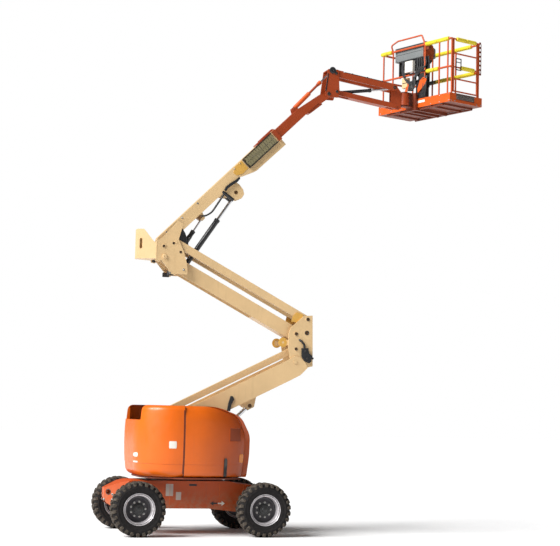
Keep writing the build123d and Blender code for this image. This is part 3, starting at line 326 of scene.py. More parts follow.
class Build:
    def __init__(self, to=LEVEL):
        self.bm = bmesh.new()
        self.mats = []
        self.to = to
        self.mat = 0

    def use(self, mat):
        if mat not in self.mats:
            self.mats.append(mat)
        self.mat = self.mats.index(mat)
        return self

    def face(self, vs):
        try:
            f = self.bm.faces.new(vs)
        except ValueError:
            return None
        f.material_index = self.mat
        return f

    def loops(self, rings, closed=True, caps=(True, True), wrap=False):
        """Skin rings of points into a surface."""
        vs = [[self.bm.verts.new(p) for p in ring] for ring in rings]
        n = len(rings[0])
        pairs = list(zip(vs, vs[1:]))
        if wrap:
            pairs.append((vs[-1], vs[0]))
        for a, b in pairs:
            for i in range(n if closed else n - 1):
                j = (i + 1) % n
                self.face((a[i], a[j], b[j], b[i]))
        if not wrap and closed:
            if caps[0]:
                self.face(list(reversed(vs[0])))
            if caps[1]:
                self.face(vs[-1])
        return self

    def prism(self, pts, y0, y1):
        """Closed outline of (along, above) points between two lateral distances."""
        return self.loops([[self.to(a, y0, b) for a, b in pts], [self.to(a, y1, b) for a, b in pts]])

    def box(self, a0, a1, y0, y1, b0, b1):
        return self.prism([(a0, b0), (a1, b0), (a1, b1), (a0, b1)], y0, y1)

    def rod(self, p, q, r, seg=20, r2=None, spin=0.0):
        """Round (or, with few segments, prismatic) bar between two row-frame points."""
        p, q = Vector(p), Vector(q)
        d = (q - p).normalized()
        u = d.orthogonal().normalized()
        v = d.cross(u)
        rings = []
        for c, rad in ((p, r), (q, r if r2 is None else r2)):
            rings.append([c + rad * (math.cos(t) * u + math.sin(t) * v)
                          for t in (spin + 2 * math.pi * i / seg for i in range(seg))])
        return self.loops(rings)

    def turn(self, profile, p, axis, seg=32, wrap=False):
        """Profile of (radius, distance along axis) turned about an axis through p."""
        axis = Vector(axis).normalized()
        u = axis.orthogonal().normalized()
        v = axis.cross(u)
        p = Vector(p)
        rings = [[p + axis * d + r * (math.cos(t) * u + math.sin(t) * v)
                  for t in (2 * math.pi * i / seg for i in range(seg))] for r, d in profile]
        return self.loops(rings, caps=(not wrap, not wrap), wrap=wrap)

    def pipe(self, pts, r, seg=10, step=0.02, caps=True):
        """Round hose through row-frame points, smoothed by a Catmull-Rom line."""
        path = smooth_path([Vector(p) for p in pts], step)
        rings, u = [], None
        for i, p in enumerate(path):
            d = (path[min(i + 1, len(path) - 1)] - path[max(i - 1, 0)]).normalized()
            if u is None:
                u = d.orthogonal().normalized()
            u = (u - d * u.dot(d)).normalized()
            v = d.cross(u)
            rings.append([p + r * (math.cos(t) * u + math.sin(t) * v) for t in (2 * math.pi * k / seg for k in range(seg))])
        return self.loops(rings, caps=(caps, caps))

    def bolt(self, p, n, r=0.012, h=0.008, washer=True):
        p, n = Vector(p), Vector(n).normalized()
        if washer:
            self.rod(p - n * 0.001, p + n * 0.002, r * 1.55, 18)
        self.rod(p, p + n * (h + 0.002), r, 6, spin=random.random())
        self.rod(p + n * (h + 0.001), p + n * (h + 0.005), r * 0.55, 12)
        return self

    def done(self, name, body, slot=None, bevel=0.0, angle=35, replaces=()):
        bmesh.ops.recalc_face_normals(self.bm, faces=self.bm.faces)
        for f in self.bm.faces:
            f.smooth = True
        lim = math.radians(angle)
        for e in self.bm.edges:
            if len(e.link_faces) == 2 and e.calc_face_angle(0) > lim:
                e.smooth = False
        me = bpy.data.meshes.new(name)
        self.bm.to_mesh(me)
        self.bm.free()
        ob = bpy.data.objects.new(name, me)
        for mt in self.mats:
            me.materials.append(mt)
        scene.collection.objects.link(ob)
        if bevel:
            mod = ob.modifiers.new("bevel", "BEVEL")
            mod.width = bevel
            mod.segments = 2
            mod.limit_method = "ANGLE"
            mod.angle_limit = math.radians(38)
            mod.harden_normals = True
        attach(ob, body)
        if replaces:
            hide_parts(*replaces)
        return ob


def smooth_path(p, step=0.02):
    if len(p) == 2:
        return [p[0], p[0].lerp(p[1], 0.5), p[1]]
    ext = [p[0] * 2 - p[1]] + p + [p[-1] * 2 - p[-2]]
    out = []
    for i in range(1, len(ext) - 2):
        a, b, c, d = ext[i - 1:i + 3]
        n = max(2, int((c - b).length / step))
        for k in range(n):
            t = k / n
            out.append(0.5 * ((2 * b) + (c - a) * t + (2 * a - 5 * b + 4 * c - d) * t * t + (3 * b - a - 3 * c + d) * t ** 3))
    out.append(p[-1])
    return out


def dress(node, mat, slot=None):
    ob = nodes[node]
    ob.data.materials.clear()
    ob.data.materials.append(mat)


random.seed(7)

M["pad"] = plastic("pad_foam", srgb(226, 206, 40), 0.62, 0.06, 500, 0.0008, dust=0.18, dusty=srgb(150, 132, 60), bevel=0.003)

# ---------------------------------------------------------------- wheels
def tyre_material(name, dust):
    n = Nodes(name)
    black = n.mix(n.span(n.noise(18, 6, 0.65), 0.3, 0.7), (0.006, 0.0055, 0.006, 1), (0.016, 0.0145, 0.015, 1))
    khaki = n.mix(n.span(n.noise(60, 5, 0.7), 0.3, 0.7), srgb(84, 72, 60), srgb(150, 138, 122))
    film = n.math("MULTIPLY", n.span(n.noise(24, 6, 0.72), 0.34, 0.60), dust)
    film2 = n.math("MULTIPLY", n.span(n.noise(120, 4, 0.7), 0.3, 0.6, 0.4, 1.0), film)
    n.color(n.mix(film2, black, khaki))
    n.rough(n.span(n.noise(40, 4, 0.6), 0.3, 0.7, 0.62, 0.88))
    e, soft = n.edge(0.005)
    n.normal(n.bump(n.noise(260, 5, 0.65), 0.0012, 0.6, soft))
    n.put(Specular_IOR_Level=0.22)
    return n.mat


M["tyre"] = tyre_material("tyre_rubber", 0.03)
M["lug"] = tyre_material("tyre_lugs", 0.62)


def rim_material():
    n = Nodes("rim_silver")
    body = n.mix(n.span(n.noise(9, 4, 0.6), 0.3, 0.7), srgb(188, 184, 188), srgb(214, 210, 212))
    body = n.mix(n.math("MULTIPLY", n.span(n.noise(26, 6, 0.7), 0.48, 0.72), 0.5), body, srgb(120, 104, 84))
    n.color(body)
    n.rough(n.span(n.noise(50, 4, 0.6), 0.3, 0.7, 0.26, 0.44))
    e, soft = n.edge(0.003)
    n.normal(n.bump(n.noise(300, 3, 0.6), 0.0004, 0.3, soft))
    n.put(Metallic=0.35, Coat_Weight=0.2)
    return n.mat


M["rim"] = rim_material()
M["dish"] = paint("rim_dish", srgb(58, 56, 60), 0.42, 0.1, dirt=srgb(70, 58, 44), grime=1.0, bevel=0.002)
M["hub"] = paint("hub_black", (0.02, 0.02, 0.02, 1), 0.4, 0.2, dirt=srgb(90, 76, 58), grime=1.0, bevel=0.002)

R_OUT, R_BODY, HALF = 0.4195, 0.396, 0.148


def carcass_profile():
    """Closed section of (radius, lateral distance): bead, sidewall with ribs, shoulder, tread base."""
    side = [(0.2232, 0.118), (0.236, 0.127), (0.2475, 0.1385), (0.251, 0.1385), (0.254, 0.1345), (0.272, 0.1385), (0.2745, 0.141),
            (0.2775, 0.1395), (0.300, 0.1440), (0.325, 0.1455), (0.3275, 0.1472), (0.3315, 0.1472), (0.334, 0.1450), (0.352, 0.1425),
            (0.372, 0.1340), (0.388, 0.1200), (R_BODY, 0.1000), (R_BODY + 0.001, 0.050)]
    right_side = [(r, d) for r, d in side]
    left_side = [(r, -d) for r, d in reversed(side)]
    return right_side + [(R_BODY + 0.001, 0.0)] + left_side


LUGS = 26
# path of one lug: lateral distance, turn of the wheel in radians, outer radius, half width along the tread
LUG_PATH = [(-0.016, -0.030, R_OUT - 0.0005, 0.0185), (0.022, 0.020, R_OUT, 0.0195), (0.060, 0.082, R_OUT, 0.0205),
            (0.098, 0.128, R_OUT - 0.001, 0.0225), (0.128, 0.146, 0.4125, 0.0265), (0.1425, 0.150, 0.3960, 0.0265),
            (0.1475, 0.151, 0.3760, 0.0235), (0.1478, 0.152, 0.3580, 0.0190)]


def tyre(name, node, body, x, y, s):
    """s is the side that faces out: +1 left, -1 right; it is not used."""
    b = Build()
    centre = G(x, y, 0.42)
    b.use(M["tyre"]).turn(carcass_profile(), centre, (0, 1, 0), 96, wrap=True)
    b.use(M["lug"])

    def at(r, lat, ang):
        return centre + Vector((r * math.sin(ang), lat, r * math.cos(ang)))
    for side in (1, -1):
        for k in range(LUGS):
            base = 2 * math.pi * (k + (0.5 if side < 0 else 0.0)) / LUGS
            rings = []
            for lat, sweep, r, w in LUG_PATH:
                a = w / r
                mid = base + sweep * 1.0
                inner = min(r - 0.012, R_BODY - 0.004) if lat < 0.12 else r - 0.014
                push = 0.0 if lat < 0.12 else -0.012
                top = r
                rings.append([at(top, side * lat, mid - a * 0.86), at(top, side * lat, mid + a * 0.86),
                              at(inner, side * (lat + push), mid + a * 1.12), at(inner, side * (lat + push), mid - a * 1.12)])
            b.loops(rings)
    ob = b.done(name, body, "tyre", bevel=0.0022, replaces=(node,), angle=50)
    return ob


# half section of the rim: radius, distance outwards from the wheel's middle
RIM_PROFILE = [(0.062, 0.020), (0.062, 0.014), (0.128, 0.014), (0.140, 0.004), (0.168, -0.004), (0.186, 0.000), (0.198, 0.018),
               (0.2030, 0.050), (0.2040, 0.098), (0.2085, 0.108), (0.2200, 0.114), (0.2290, 0.121), (0.2345, 0.130), (0.2365, 0.1365),
               (0.2400, 0.1395), (0.2435, 0.1375), (0.2435, 0.1325), (0.2395, 0.1290), (0.2340, 0.1240), (0.2230, 0.1180),
               (0.2224, 0.1000), (0.2224, -0.1000), (0.2230, -0.1180), (0.2340, -0.1240), (0.2395, -0.1290), (0.2435, -0.1325),
               (0.2435, -0.1375), (0.2400, -0.1395), (0.2365, -0.1365), (0.2290, -0.1210), (0.2085, -0.1080), (0.2040, -0.0980),
               (0.2040, -0.0100), (0.190, -0.014), (0.140, -0.010), (0.128, 0.002), (0.062, 0.002)]


def rim(name, node, body, x, y, s, driven):
    b = Build()
    c = G(x, y, 0.42)
    out = Vector((0, s, 0))
    n = len(RIM_PROFILE)
    b.use(M["rim"])
    rings = RIM_PROFILE
    b.turn(rings, c, out, 72, wrap=True)
    for f in b.bm.faces:
        r = ((f.calc_center_median() - c).xz).length
        d = (f.calc_center_median() - c).dot(out)
        if r < 0.199 and -0.02 < d < 0.03:
            b.use(M["dish"])
            f.material_index = b.mat
    # bolt boss with wheel nuts, hub and cap
    b.use(M["hub"]).turn([(0.0, 0.012), (0.098, 0.012), (0.098, 0.024), (0.092, 0.030), (0.074, 0.032), (0.072, 0.052),
                          (0.068, 0.058), (0.050, 0.060), (0.0, 0.060)], c, out, 48)
    cap = 0.078 if driven else 0.072
    b.use(M["hub"]).turn([(0.0, 0.058), (0.036, 0.058), (0.040, 0.060), (0.040, cap - 0.006), (0.034, cap), (0.020, cap + 0.003), (0.0, cap + 0.004)], c, out, 32)
    for k in range(9):
        t = 2 * math.pi * (k + 0.2) / 9
        p = c + out * 0.014 + Vector((0.114 * math.sin(t), 0, 0.114 * math.cos(t)))
        b.use(M["steel"]).rod(p, p + out * 0.006, 0.0165, 20)
        b.rod(p + out * 0.004, p + out * 0.022, 0.0125, 6, spin=t)
        b.rod(p + out * 0.020, p + out * 0.031, 0.0070, 12)
    # tyre valve
    t = 0.7
    p = c + Vector((0.192 * math.sin(t), 0, 0.192 * math.cos(t)))
    b.use(M["rubber"]).rod(p + out * 0.004, p + out * 0.040 + Vector((0, 0, 0.004)), 0.0055, 12, r2=0.004)
    return b.done(name, body, "rim_paint", replaces=(node,), angle=28)


for end, x in (("front", 0.990), ("rear", -0.990)):
    for side, s in (("left", 1), ("right", -1)):
        tyre(f"tread_{end}_{side}", f"tyre_{end}_{side}", f"wheel_{end}_{side}", x, s * 0.842, s)
        rim(f"disc_{end}_{side}", f"rim_{end}_{side}", f"wheel_{end}_{side}", x, s * 0.842, s, end == "front")

# ---------------------------------------------------------------- tail and hoods
BOW_X, BOW_R = -0.150, 1.700
TAIL_Z0, TAIL_Z1 = 0.902, 2.000
SKIRT = 1.105


def barrel(z):
    """How far the covers draw in above and below their widest level."""
    k = (z - 1.46) / 0.55
    t = 0.034 * k * k
    if z < SKIRT:
        t += 0.005
    return t


def round_off(h, r):
    """Inward step of a rounded edge at depth h below it."""
    if h >= r:
        return 0.0
    return r - math.sqrt(max(r * r - (r - h) ** 2, 0.0))


def tail_ring(t, z, front, n=12):
    """Plan of the tail pulled in by t, from the right seam round to the left one."""
    r = 0.600 - t
    pts = [(front, -(0.955 - t))]
    for k in range(4):
        pts.append((front + (-0.400 - front) * (k + 1) / 4, -(0.955 - t)))
    for k in range(1, n + 1):
        a = -math.pi / 2 - (math.pi / 2) * k / n
        pts.append((-0.400 + r * math.cos(a), -0.355 + r * math.sin(a)))
    for k in range(1, 8):
        pts.append((-0.400 - r, -0.355 + 0.710 * k / 7))
    for k in range(1, n + 1):
        a = math.pi - (math.pi / 2) * k / n
        pts.append((-0.400 + r * math.cos(a), 0.355 + r * math.sin(a)))
    for k in range(4):
        pts.append((-0.400 + (front + 0.400) * (k + 1) / 4, 0.955 - t))
    return [G(x, y, z) for x, y in pts]


def tail_levels():
    zs = []
    for k in range(9):
        h = 0.110 * (1 - math.cos(math.pi / 2 * k / 8))
        zs.append((TAIL_Z0 + h, round_off(h, 0.110)))
    for z in (1.05, 1.09, SKIRT - 0.003, SKIRT, SKIRT + 0.004, 1.15, 1.25, 1.35, 1.45, 1.55, 1.65, 1.75, 1.85, 1.90):
        zs.append((z, 0.0))
    for k in range(8, -1, -1):
        h = 0.075 * (1 - math.cos(math.pi / 2 * k / 8))
        zs.append((TAIL_Z1 - h, round_off(h, 0.075)))
    return zs


tb = Build()
tb.use(M["cover"])
front = -0.3155
outer = [tail_ring(barrel(z) + r, z, front) for z, r in tail_levels()]
inner = [tail_ring(max(0.0615, barrel(z) + r + 0.010), z, front, 12) for z, r in tail_levels()]
tb.loops([o + i[::-1] for o, i in zip(outer, inner)])
skin_probe = tb.bm


def finish_cut(build, name, body, cutters, replaces=(), bevel=0.0):
    """Cuts boxes out of a closed piece and tidies the result."""
    ob = build.done(name, body, None)
    made = []
    for c in cutters:
        me = bpy.data.meshes.new("cutter")
        bmesh.ops.recalc_face_normals(c.bm, faces=c.bm.faces)
        c.bm.to_mesh(me)
        c.bm.free()
        co = bpy.data.objects.new("cutter", me)
        scene.collection.objects.link(co)
        mod = ob.modifiers.new("cut", "BOOLEAN")
        mod.object = co
        mod.operation = "DIFFERENCE"
        mod.solver = "EXACT"
        made.append(co)
    dg = bpy.context.evaluated_depsgraph_get()
    me = bpy.data.meshes.new_from_object(ob.evaluated_get(dg))
    ob.modifiers.clear()
    ob.data = me
    for co in made:
        bpy.data.objects.remove(co)
    bm = bmesh.new()
    bm.from_mesh(me)
    bmesh.ops.remove_doubles(bm, verts=bm.verts, dist=1e-5)
    for f in bm.faces:
        f.smooth = True
    for e in bm.edges:
        e.smooth = not (len(e.link_faces) == 2 and e.calc_face_angle(0) > math.radians(33))
    bm.to_mesh(me)
    bm.free()
    if bevel:
        mod = ob.modifiers.new("bevel", "BEVEL")
        mod.width = bevel
        mod.segments = 2
        mod.limit_method = "ANGLE"
        mod.angle_limit = math.radians(40)
        mod.harden_normals = True
    if replaces:
        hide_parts(*replaces)
    return ob


notch = Build().box(-1.2, -0.2, -0.585, 0.585, 1.770, 2.2)
finish_cut(tb, "tail_casting", "turntable", [notch], ("counterweight",), bevel=0.006)


def arc_points(p0, p1, p2, r, n=10):
    """Fillet of radius r at p1 between two straight lines."""
    a, b, c = Vector(p0), Vector(p1), Vector(p2)
    u, v = (a - b).normalized(), (c - b).normalized()
    half = u.angle(v) / 2
    d = r / math.tan(half)
    m = (u + v).normalized() * (r / math.sin(half))
    s0, s1 = b + u * d, b + v * d
    o = b + m
    q0, q1 = s0 - o, s1 - o
    w = q0.angle(q1)
    return [o + (q0 * math.sin(w * (1 - k / n)) + q1 * math.sin(w * k / n)) / math.sin(w) for k in range(n + 1)]


# roof and nose of a hood from the side: bottom of the nose up and back to the seam
HP = [(0.690, 0.908), (0.728, 1.250), (0.733, 1.560), (0.560, 1.850), (0.150, 1.996), (-0.307, 2.000)]
line = [Vector(HP[0])]
for k, r in ((1, 1.5), (2, 0.30), (3, 0.30), (4, 0.90)):
    line += arc_points(HP[k - 1], HP[k], HP[k + 1], r, 10)
line.append(Vector(HP[5]))
# even spacing along the line
dense = []
for a, b in zip(line, line[1:]):
    n = max(1, int((b - a).length / 0.028))
    dense += [a.lerp(b, k / n) for k in range(n)]
dense.append(line[-1])


def from_line(p):
    """Distance of a side-view point from the hood's outline."""
    best = 9.0
    for a, b in zip(line, line[1:]):
        ab = b - a
        t = max(0.0, min(1.0, (p - a).dot(ab) / max(ab.length_squared, 1e-12)))
        best = min(best, (p - (a + ab * t)).length)
    return best


def nose_round(h, reach=0.230, depth=0.085):
    """Long soft edge round the nose and over the roof."""
    if h >= reach:
        return 0.0
    k = (reach - h) / reach
    return depth * (1 - math.sqrt(max(1 - k * k, 0.0)))


def hood_side(x, z):
    """Half width of the hood's skin."""
    y = 0.955 if x <= BOW_X else 0.955 - (BOW_R - math.sqrt(BOW_R ** 2 - (x - BOW_X) ** 2))
    low = 0.0
    if z < 0.908 + 0.050:
        low = round_off(z - 0.908, 0.050)
    return y - barrel(z) - nose_round(from_line(Vector((x, z)))) - low


def hood_shell(side, name, node):
    b = Build()
    b.use(M["cover_hood"])
    rings, inner = [], []
    us = [0, 0.03, 0.10, 0.2, 0.3, 0.4, 0.5, 0.6, 0.68, 0.74, 0.79, 0.83, 0.87, 0.90, 0.93, 0.955, 0.972, 0.984, 0.992, 0.997, 1.0]
    extra = [Vector((0.690 + 0.038 * (z - 0.908) / 0.342, z)) for z in (SKIRT - 0.003, SKIRT + 0.001)]
    path = sorted([p for p in dense if p.y < 1.25 and abs(p.y - SKIRT) > 0.006] + extra, key=lambda p: p.y) + [p for p in dense if p.y >= 1.25]
    low = [Vector((0.690 + 0.111 * 0.0, 0.908 + h)) for h in (0.004, 0.012, 0.025)]
    path = path[:1] + low + path[1:]
    for p in path:
        xk, z = p
        row = [G(-0.307, side * 0.335, z)]
        for u in us:
            x = -0.307 + (xk + 0.377) * u
            row.append(G(x, side * max(hood_side(x, z), 0.35), z))
        row.append(G(xk, side * 0.335, z))
        rings.append(row)
        q = []
        xi = max(xk - 0.010, -0.302)
        zi = z - 0.010 if z > 1.7 else z
        q.append(G(-0.302, side * 0.335, zi))
        for u in us:
            x = -0.302 + (xi + 0.372) * u
            q.append(G(x, side * max(hood_side(x, z) - 0.010, 0.345), zi))
        q.append(G(xi, side * 0.335, zi))
        inner.append(q)
    vo = [[b.bm.verts.new(p) for p in r] for r in rings]
    vi = [[b.bm.verts.new(p) for p in r] for r in inner]
    for grid in (vo, vi):
        for ra, rb in zip(grid, grid[1:]):
            for i in range(1, len(ra) - 1):
                b.face((ra[i], ra[i + 1], rb[i + 1], rb[i]))
    n = len(vo[0])
    for k in range(len(vo) - 1):
        b.face((vo[k][1], vo[k + 1][1], vi[k + 1][1], vi[k][1]))
        b.face((vo[k][n - 1], vo[k + 1][n - 1], vi[k + 1][n - 1], vi[k][n - 1]))
    for k in (0, len(vo) - 1):
        for i in range(1, n - 1):
            b.face((vo[k][i], vo[k][i + 1], vi[k][i + 1], vi[k][i]))
    loose = [v for v in b.bm.verts if not v.link_faces]
    bmesh.ops.delete(b.bm, geom=loose, context="VERTS")
    bmesh.ops.remove_doubles(b.bm, verts=b.bm.verts, dist=1e-6)
    return b.done(name, f"hood_{'left' if side > 0 else 'right'}", "orange_hood", angle=32, replaces=(node,))


hood_shell(1, "hood_skin_left", "hood_left")
hood_shell(-1, "hood_skin_right", "hood_right")


def skin(x, z, side=-1, out=0.0):
    """Point on the covers' side, pushed out by out."""
    if x < -0.311:
        t = barrel(z) - out
        if x > -0.400:
            y = 0.955 - t
        else:
            y = 0.355 + math.sqrt(max((0.600 - t) ** 2 - (x + 0.400) ** 2, 0.0))
        return G(x, side * y, z)
    return G(x, side * (hood_side(x, z) + out), z)


def patch(name, body, slot, mat, x0, x1, z0, z1, side=-1, lift=0.0012, nx=8, nz=6, corner=0.006):
    """Thin plate or label that lies on a cover's curved side."""
    b = Build()
    b.use(mat)
    def sheet(out, inset_by):
        rows = []
        for j in range(nz + 1):
            z = z0 + (z1 - z0) * j / nz
            e = min(z - z0, z1 - z)
            cut = corner - math.sqrt(max(corner ** 2 - (corner - e) ** 2, 0)) if e < corner else 0.0
            rows.append([skin(x0 + cut + inset_by + (x1 - x0 - 2 * cut - 2 * inset_by) * i / nx, z, side, out) for i in range(nx + 1)])
        return [[b.bm.verts.new(p) for p in row] for row in rows]
    top, bot = sheet(lift, 0.0003), sheet(-0.002, 0.0)
    for grid in (top, bot):
        for ra, rb in zip(grid, grid[1:]):
            for i in range(nx):
                b.face((ra[i], ra[i + 1], rb[i + 1], rb[i]))
    loop_t = top[0] + [r[-1] for r in top[1:]] + list(reversed(top[-1][:-1])) + [r[0] for r in reversed(top[1:-1])]
    loop_b = bot[0] + [r[-1] for r in bot[1:]] + list(reversed(bot[-1][:-1])) + [r[0] for r in reversed(bot[1:-1])]
    m = len(loop_t)
    for i in range(m):
        b.face((loop_t[i], loop_t[(i + 1) % m], loop_b[(i + 1) % m], loop_b[i]))
    return b.done(name, body, slot, angle=40)


patch("label_tail_side", "turntable", None, M["blank"], -0.555, -0.440, 1.345, 1.455)
patch("label_tail_rear_upper", "turntable", None, M["blank"], -0.994, -0.962, 1.200, 1.265)
patch("label_tail_rear_lower", "turntable", None, M["blank"], -0.992, -0.958, 1.110, 1.135)
patch("label_tail_left_side", "turntable", None, M["blank"], -0.560, -0.425, 1.335, 1.465, side=1)
# rubber hold-down of each hood, with its buckle
for side, nm in ((-1, "right"), (1, "left")):
    patch(f"hood_latch_strap_{nm}", f"hood_{nm}", "black_paint", M["rubber"], 0.335, 0.388, 0.905, 1.190, side=side, lift=0.012, nx=4, nz=14, corner=0.020)
    patch(f"hood_latch_plate_{nm}", f"hood_{nm}", "black_paint", M["dark_steel"], 0.338, 0.384, 1.085, 1.205, side=side, lift=0.016, nx=4, nz=8, corner=0.012)
    patch(f"hood_marker_{nm}", f"hood_{nm}", None, M["amber"], 0.605, 0.690, 1.135, 1.268, side=side, lift=0.006, nx=6, nz=6, corner=0.012)

# dark rubber seal in the gap between the tail and the hoods
for side, nm in ((-1, "right"), (1, "left")):
    b = Build()
    b.use(M["rubber"])
    rows = []
    for k in range(61):
        z = 0.925 + (1.985 - 0.925) * k / 60
        p = [skin(-0.3165, z, side, -0.030), skin(-0.3165, z, side, -0.0015), skin(-0.3055, z, side, -0.0015), skin(-0.3055, z, side, -0.030)]
        rows.append(p)
    b.loops(rows)
    b.done(f"seam_seal_{nm}", "turntable", "black_paint")

# grab at the front of each hood: raised rim strips with a bright lower lip round a shallow flat sheet in painted shade,
# standing in for the scoop's shadow
for side, nm in ((-1, "right"), (1, "left")):
    b = Build()
    b.use(M["cover_hood"])
    x0, x1, z0, z1 = 0.430, 0.620, 1.470, 1.665
    for (xa, xb, za, zb, o) in ((x0, x1, z0 - 0.016, z0, 0.007), (x0, x1, z1, z1 + 0.012, 0.005), (x0 - 0.012, x0, z0 - 0.016, z1 + 0.012, 0.005), (x1, x1 + 0.010, z0 - 0.016, z1 + 0.012, 0.005)):
        n = 8
        rows = []
        for k in range(n + 1):
            if xb - xa > zb - za:
                x = xa + (xb - xa) * k / n
                rows.append([skin(x, za, side, -0.003), skin(x, za + 0.003, side, o), skin(x, zb - 0.003, side, o), skin(x, zb, side, -0.003)])
            else:
                z = za + (zb - za) * k / n
                rows.append([skin(xa, z, side, -0.003), skin(xa + 0.003, z, side, o), skin(xb - 0.003, z, side, o), skin(xb, z, side, -0.003)])
        b.loops(rows)
    # painted shade: the scoop is a flat dark sheet on the skin
    b.use(M["cover_shade"])
    n = 8
    front_rows, back_rows = [], []
    for k in range(n + 1):
        z = z0 + (z1 - z0) * k / n
        front_rows.append([skin(x0 + (x1 - x0) * i / n, z, side, 0.0012) for i in range(n + 1)])
        back_rows.append([skin(x0 + (x1 - x0) * i / n, z, side, -0.002) for i in range(n + 1)])
    vf = [[b.bm.verts.new(p) for p in r] for r in front_rows]
    vb = [[b.bm.verts.new(p) for p in r] for r in back_rows]
    for g in (vf, vb):
        for ra, rb in zip(g, g[1:]):
            for i in range(n):
                b.face((ra[i], ra[i + 1], rb[i + 1], rb[i]))
    lt = vf[0] + [r[-1] for r in vf[1:]] + list(reversed(vf[-1][:-1])) + [r[0] for r in reversed(vf[1:-1])]
    lb = vb[0] + [r[-1] for r in vb[1:]] + list(reversed(vb[-1][:-1])) + [r[0] for r in reversed(vb[1:-1])]
    for i in range(len(lt)):
        b.face((lt[i], lt[(i + 1) % len(lt)], lb[(i + 1) % len(lt)], lb[i]))
    b.done(f"hood_grab_{nm}", f"hood_{nm}", "orange_hood", bevel=0.0015)

# painted shadow strip on the tail beside each seam, widening the gap's dark line
for side, nm in ((-1, "right"), (1, "left")):
    patch(f"seam_shadow_strip_{nm}", "turntable", "orange_paint", M["deck_painted_shade"], -0.336, -0.3165, 0.960, 1.930, side=side, lift=0.0014, nx=2, nz=40, corner=0.001)

# ---------------------------------------------------------------- platform
PA = math.radians(21.2)


ROT, LIFTED = 3.534, 0.040


def P(x, y, z):
    """Platform point: x across the entry side from the rotator, y along the long side, z from the ground, millimetres."""
    return G(ROT + (x * math.cos(PA) - y * math.sin(PA)) / 1000, (x * math.sin(PA) + y * math.cos(PA)) / 1000, z / 1000 + LIFTED)


class Plat(Build):
    def __init__(self):
        super().__init__(P)

    def cube(self, x0, x1, y0, y1, z0, z1):
        return self.loops([[P(x0, y0, z), P(x1, y0, z), P(x1, y1, z), P(x0, y1, z)] for z in (z0, z1)])

    def sheet(self, pts, z0, z1):
        return self.loops([[P(x, y, z) for x, y in pts] for z in (z0, z1)])


# foam sleeves round the top and mid rails: (start, end) of each, platform millimetres
SLEEVES = [((235, 858, 8170), (235, 702, 8170)), ((235, 694, 8170), (235, 585, 8170)), ((235, -276, 8170), (235, -555, 8170)), ((235, -565, 8170), (235, -830, 8170)),
           ((930, 346, 8170), (930, 20, 8170)), ((930, 10, 8170), (930, -320, 8170)), ((930, -330, 8170), (930, -655, 8170)),
           ((235, -298, 7695), (235, -480, 7695)), ((235, -490, 7695), (235, -590, 7695)), ((930, 195, 7695), (930, -110, 7695)),
           ((930, -120, 7695), (930, -430, 7695)), ((930, -440, 7695), (930, -745, 7695)), ((930, 430, 7695), (930, 205, 7695)),
           ((375, -865, 8170), (590, -865, 8170)), ((600, -865, 8170), (820, -865, 8170)), ((475, -865, 7695), (780, -865, 7695))]
ON_GATE = (13, 14, 15)
DARK_FOAM = (12,)


def sleeve(i, a, b):
    """Split foam tube with soft rolled ends, held by two straps."""
    B = Plat()
    p, q = P(*a), P(*b)
    ax = (q - p)
    L = ax.length
    ax.normalize()
    u = Vector((0, 0, 1))
    v = ax.cross(u)
    n = max(12, int(L / 0.018))
    B.use(M["pad_dark"] if i in DARK_FOAM else M["pad"])
    body = "platform_gate" if i in ON_GATE else "platform"
    rings = []
    straps = [0.12, 0.88]
    prof = [(0.0, 0.0185), (0.0, 0.028), (0.003, 0.0315), (0.008, 0.0342)]
    ss = [(s, r) for s, r in prof]
    for k in range(1, n):
        s = L * k / n
        if s < 0.012 or s > L - 0.012:
            continue
        r = 0.0350 + 0.0005 * math.sin(31 * s + i)
        for t in straps:
            r -= 0.0022 * math.exp(-((s - t * L) / 0.012) ** 2)
        ss.append((s, r))
    ss += [(L - s, r) for s, r in reversed(prof)]
    for s, r in ss:
        ring = []
        for k in range(28):
            t = 2 * math.pi * k / 28
            rr = r - (0.0035 if k == 21 and r > 0.031 else 0.0)
            ring.append(p + ax * s + rr * (math.sin(t) * u + math.cos(t) * v))
        rings.append(ring)
    B.loops(rings)
    ob = B.done(f"pad_sleeve_{i}", body, "pad_foam", angle=60)
    C = Plat()
    C.use(M["pad_tape"])
    for t in straps:
        c = p + ax * (t * L)
        C.turn([(0.0326, -0.004), (0.0342, -0.004), (0.0342, 0.004), (0.0326, 0.004)], c, ax, 28, wrap=True)
    C.done(f"pad_straps_{i}", body, "black_paint")
    return ob


pads = [sleeve(i, a, b) for i, (a, b) in enumerate(SLEEVES)]
for o in pads[:1]:
    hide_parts("rail_pads")

# ---------------------------------------------------------------- chassis and turntable fittings
def side_box(b, x0, x1, y0, y1, z0, z1):
    return b.box(x0, x1, y0, y1, z0, z1)


def label(name, body, mat, x0, x1, z0, z1, y, t=0.0015):
    b = Build()
    b.use(mat)
    c = 0.005
    pts = [(x0 + c, z0), (x1 - c, z0), (x1, z0 + c), (x1, z1 - c), (x1 - c, z1), (x0 + c, z1), (x0, z1 - c), (x0, z0 + c)]
    s = -1 if y < 0 else 1
    b.prism(pts, y, y + s * t)
    return b.done(name, body, None)


label("chassis_label_a", "chassis", M["blank_grey"], -0.465, -0.347, 0.593, 0.780, -0.380)
label("chassis_label_b", "chassis", M["blank_grey"], -0.301, -0.218, 0.532, 0.655, -0.380)
# painted shade: flat dark strip at the top of the frame's side that stands in for the shaded opening there
label("chassis_gap_shade", "chassis", M["console_dark"], -0.095, 0.030, 0.750, 0.782, -0.380)
label("chassis_label_c", "chassis", M["blank_grey"], -0.465, -0.347, 0.593, 0.780, 0.380)

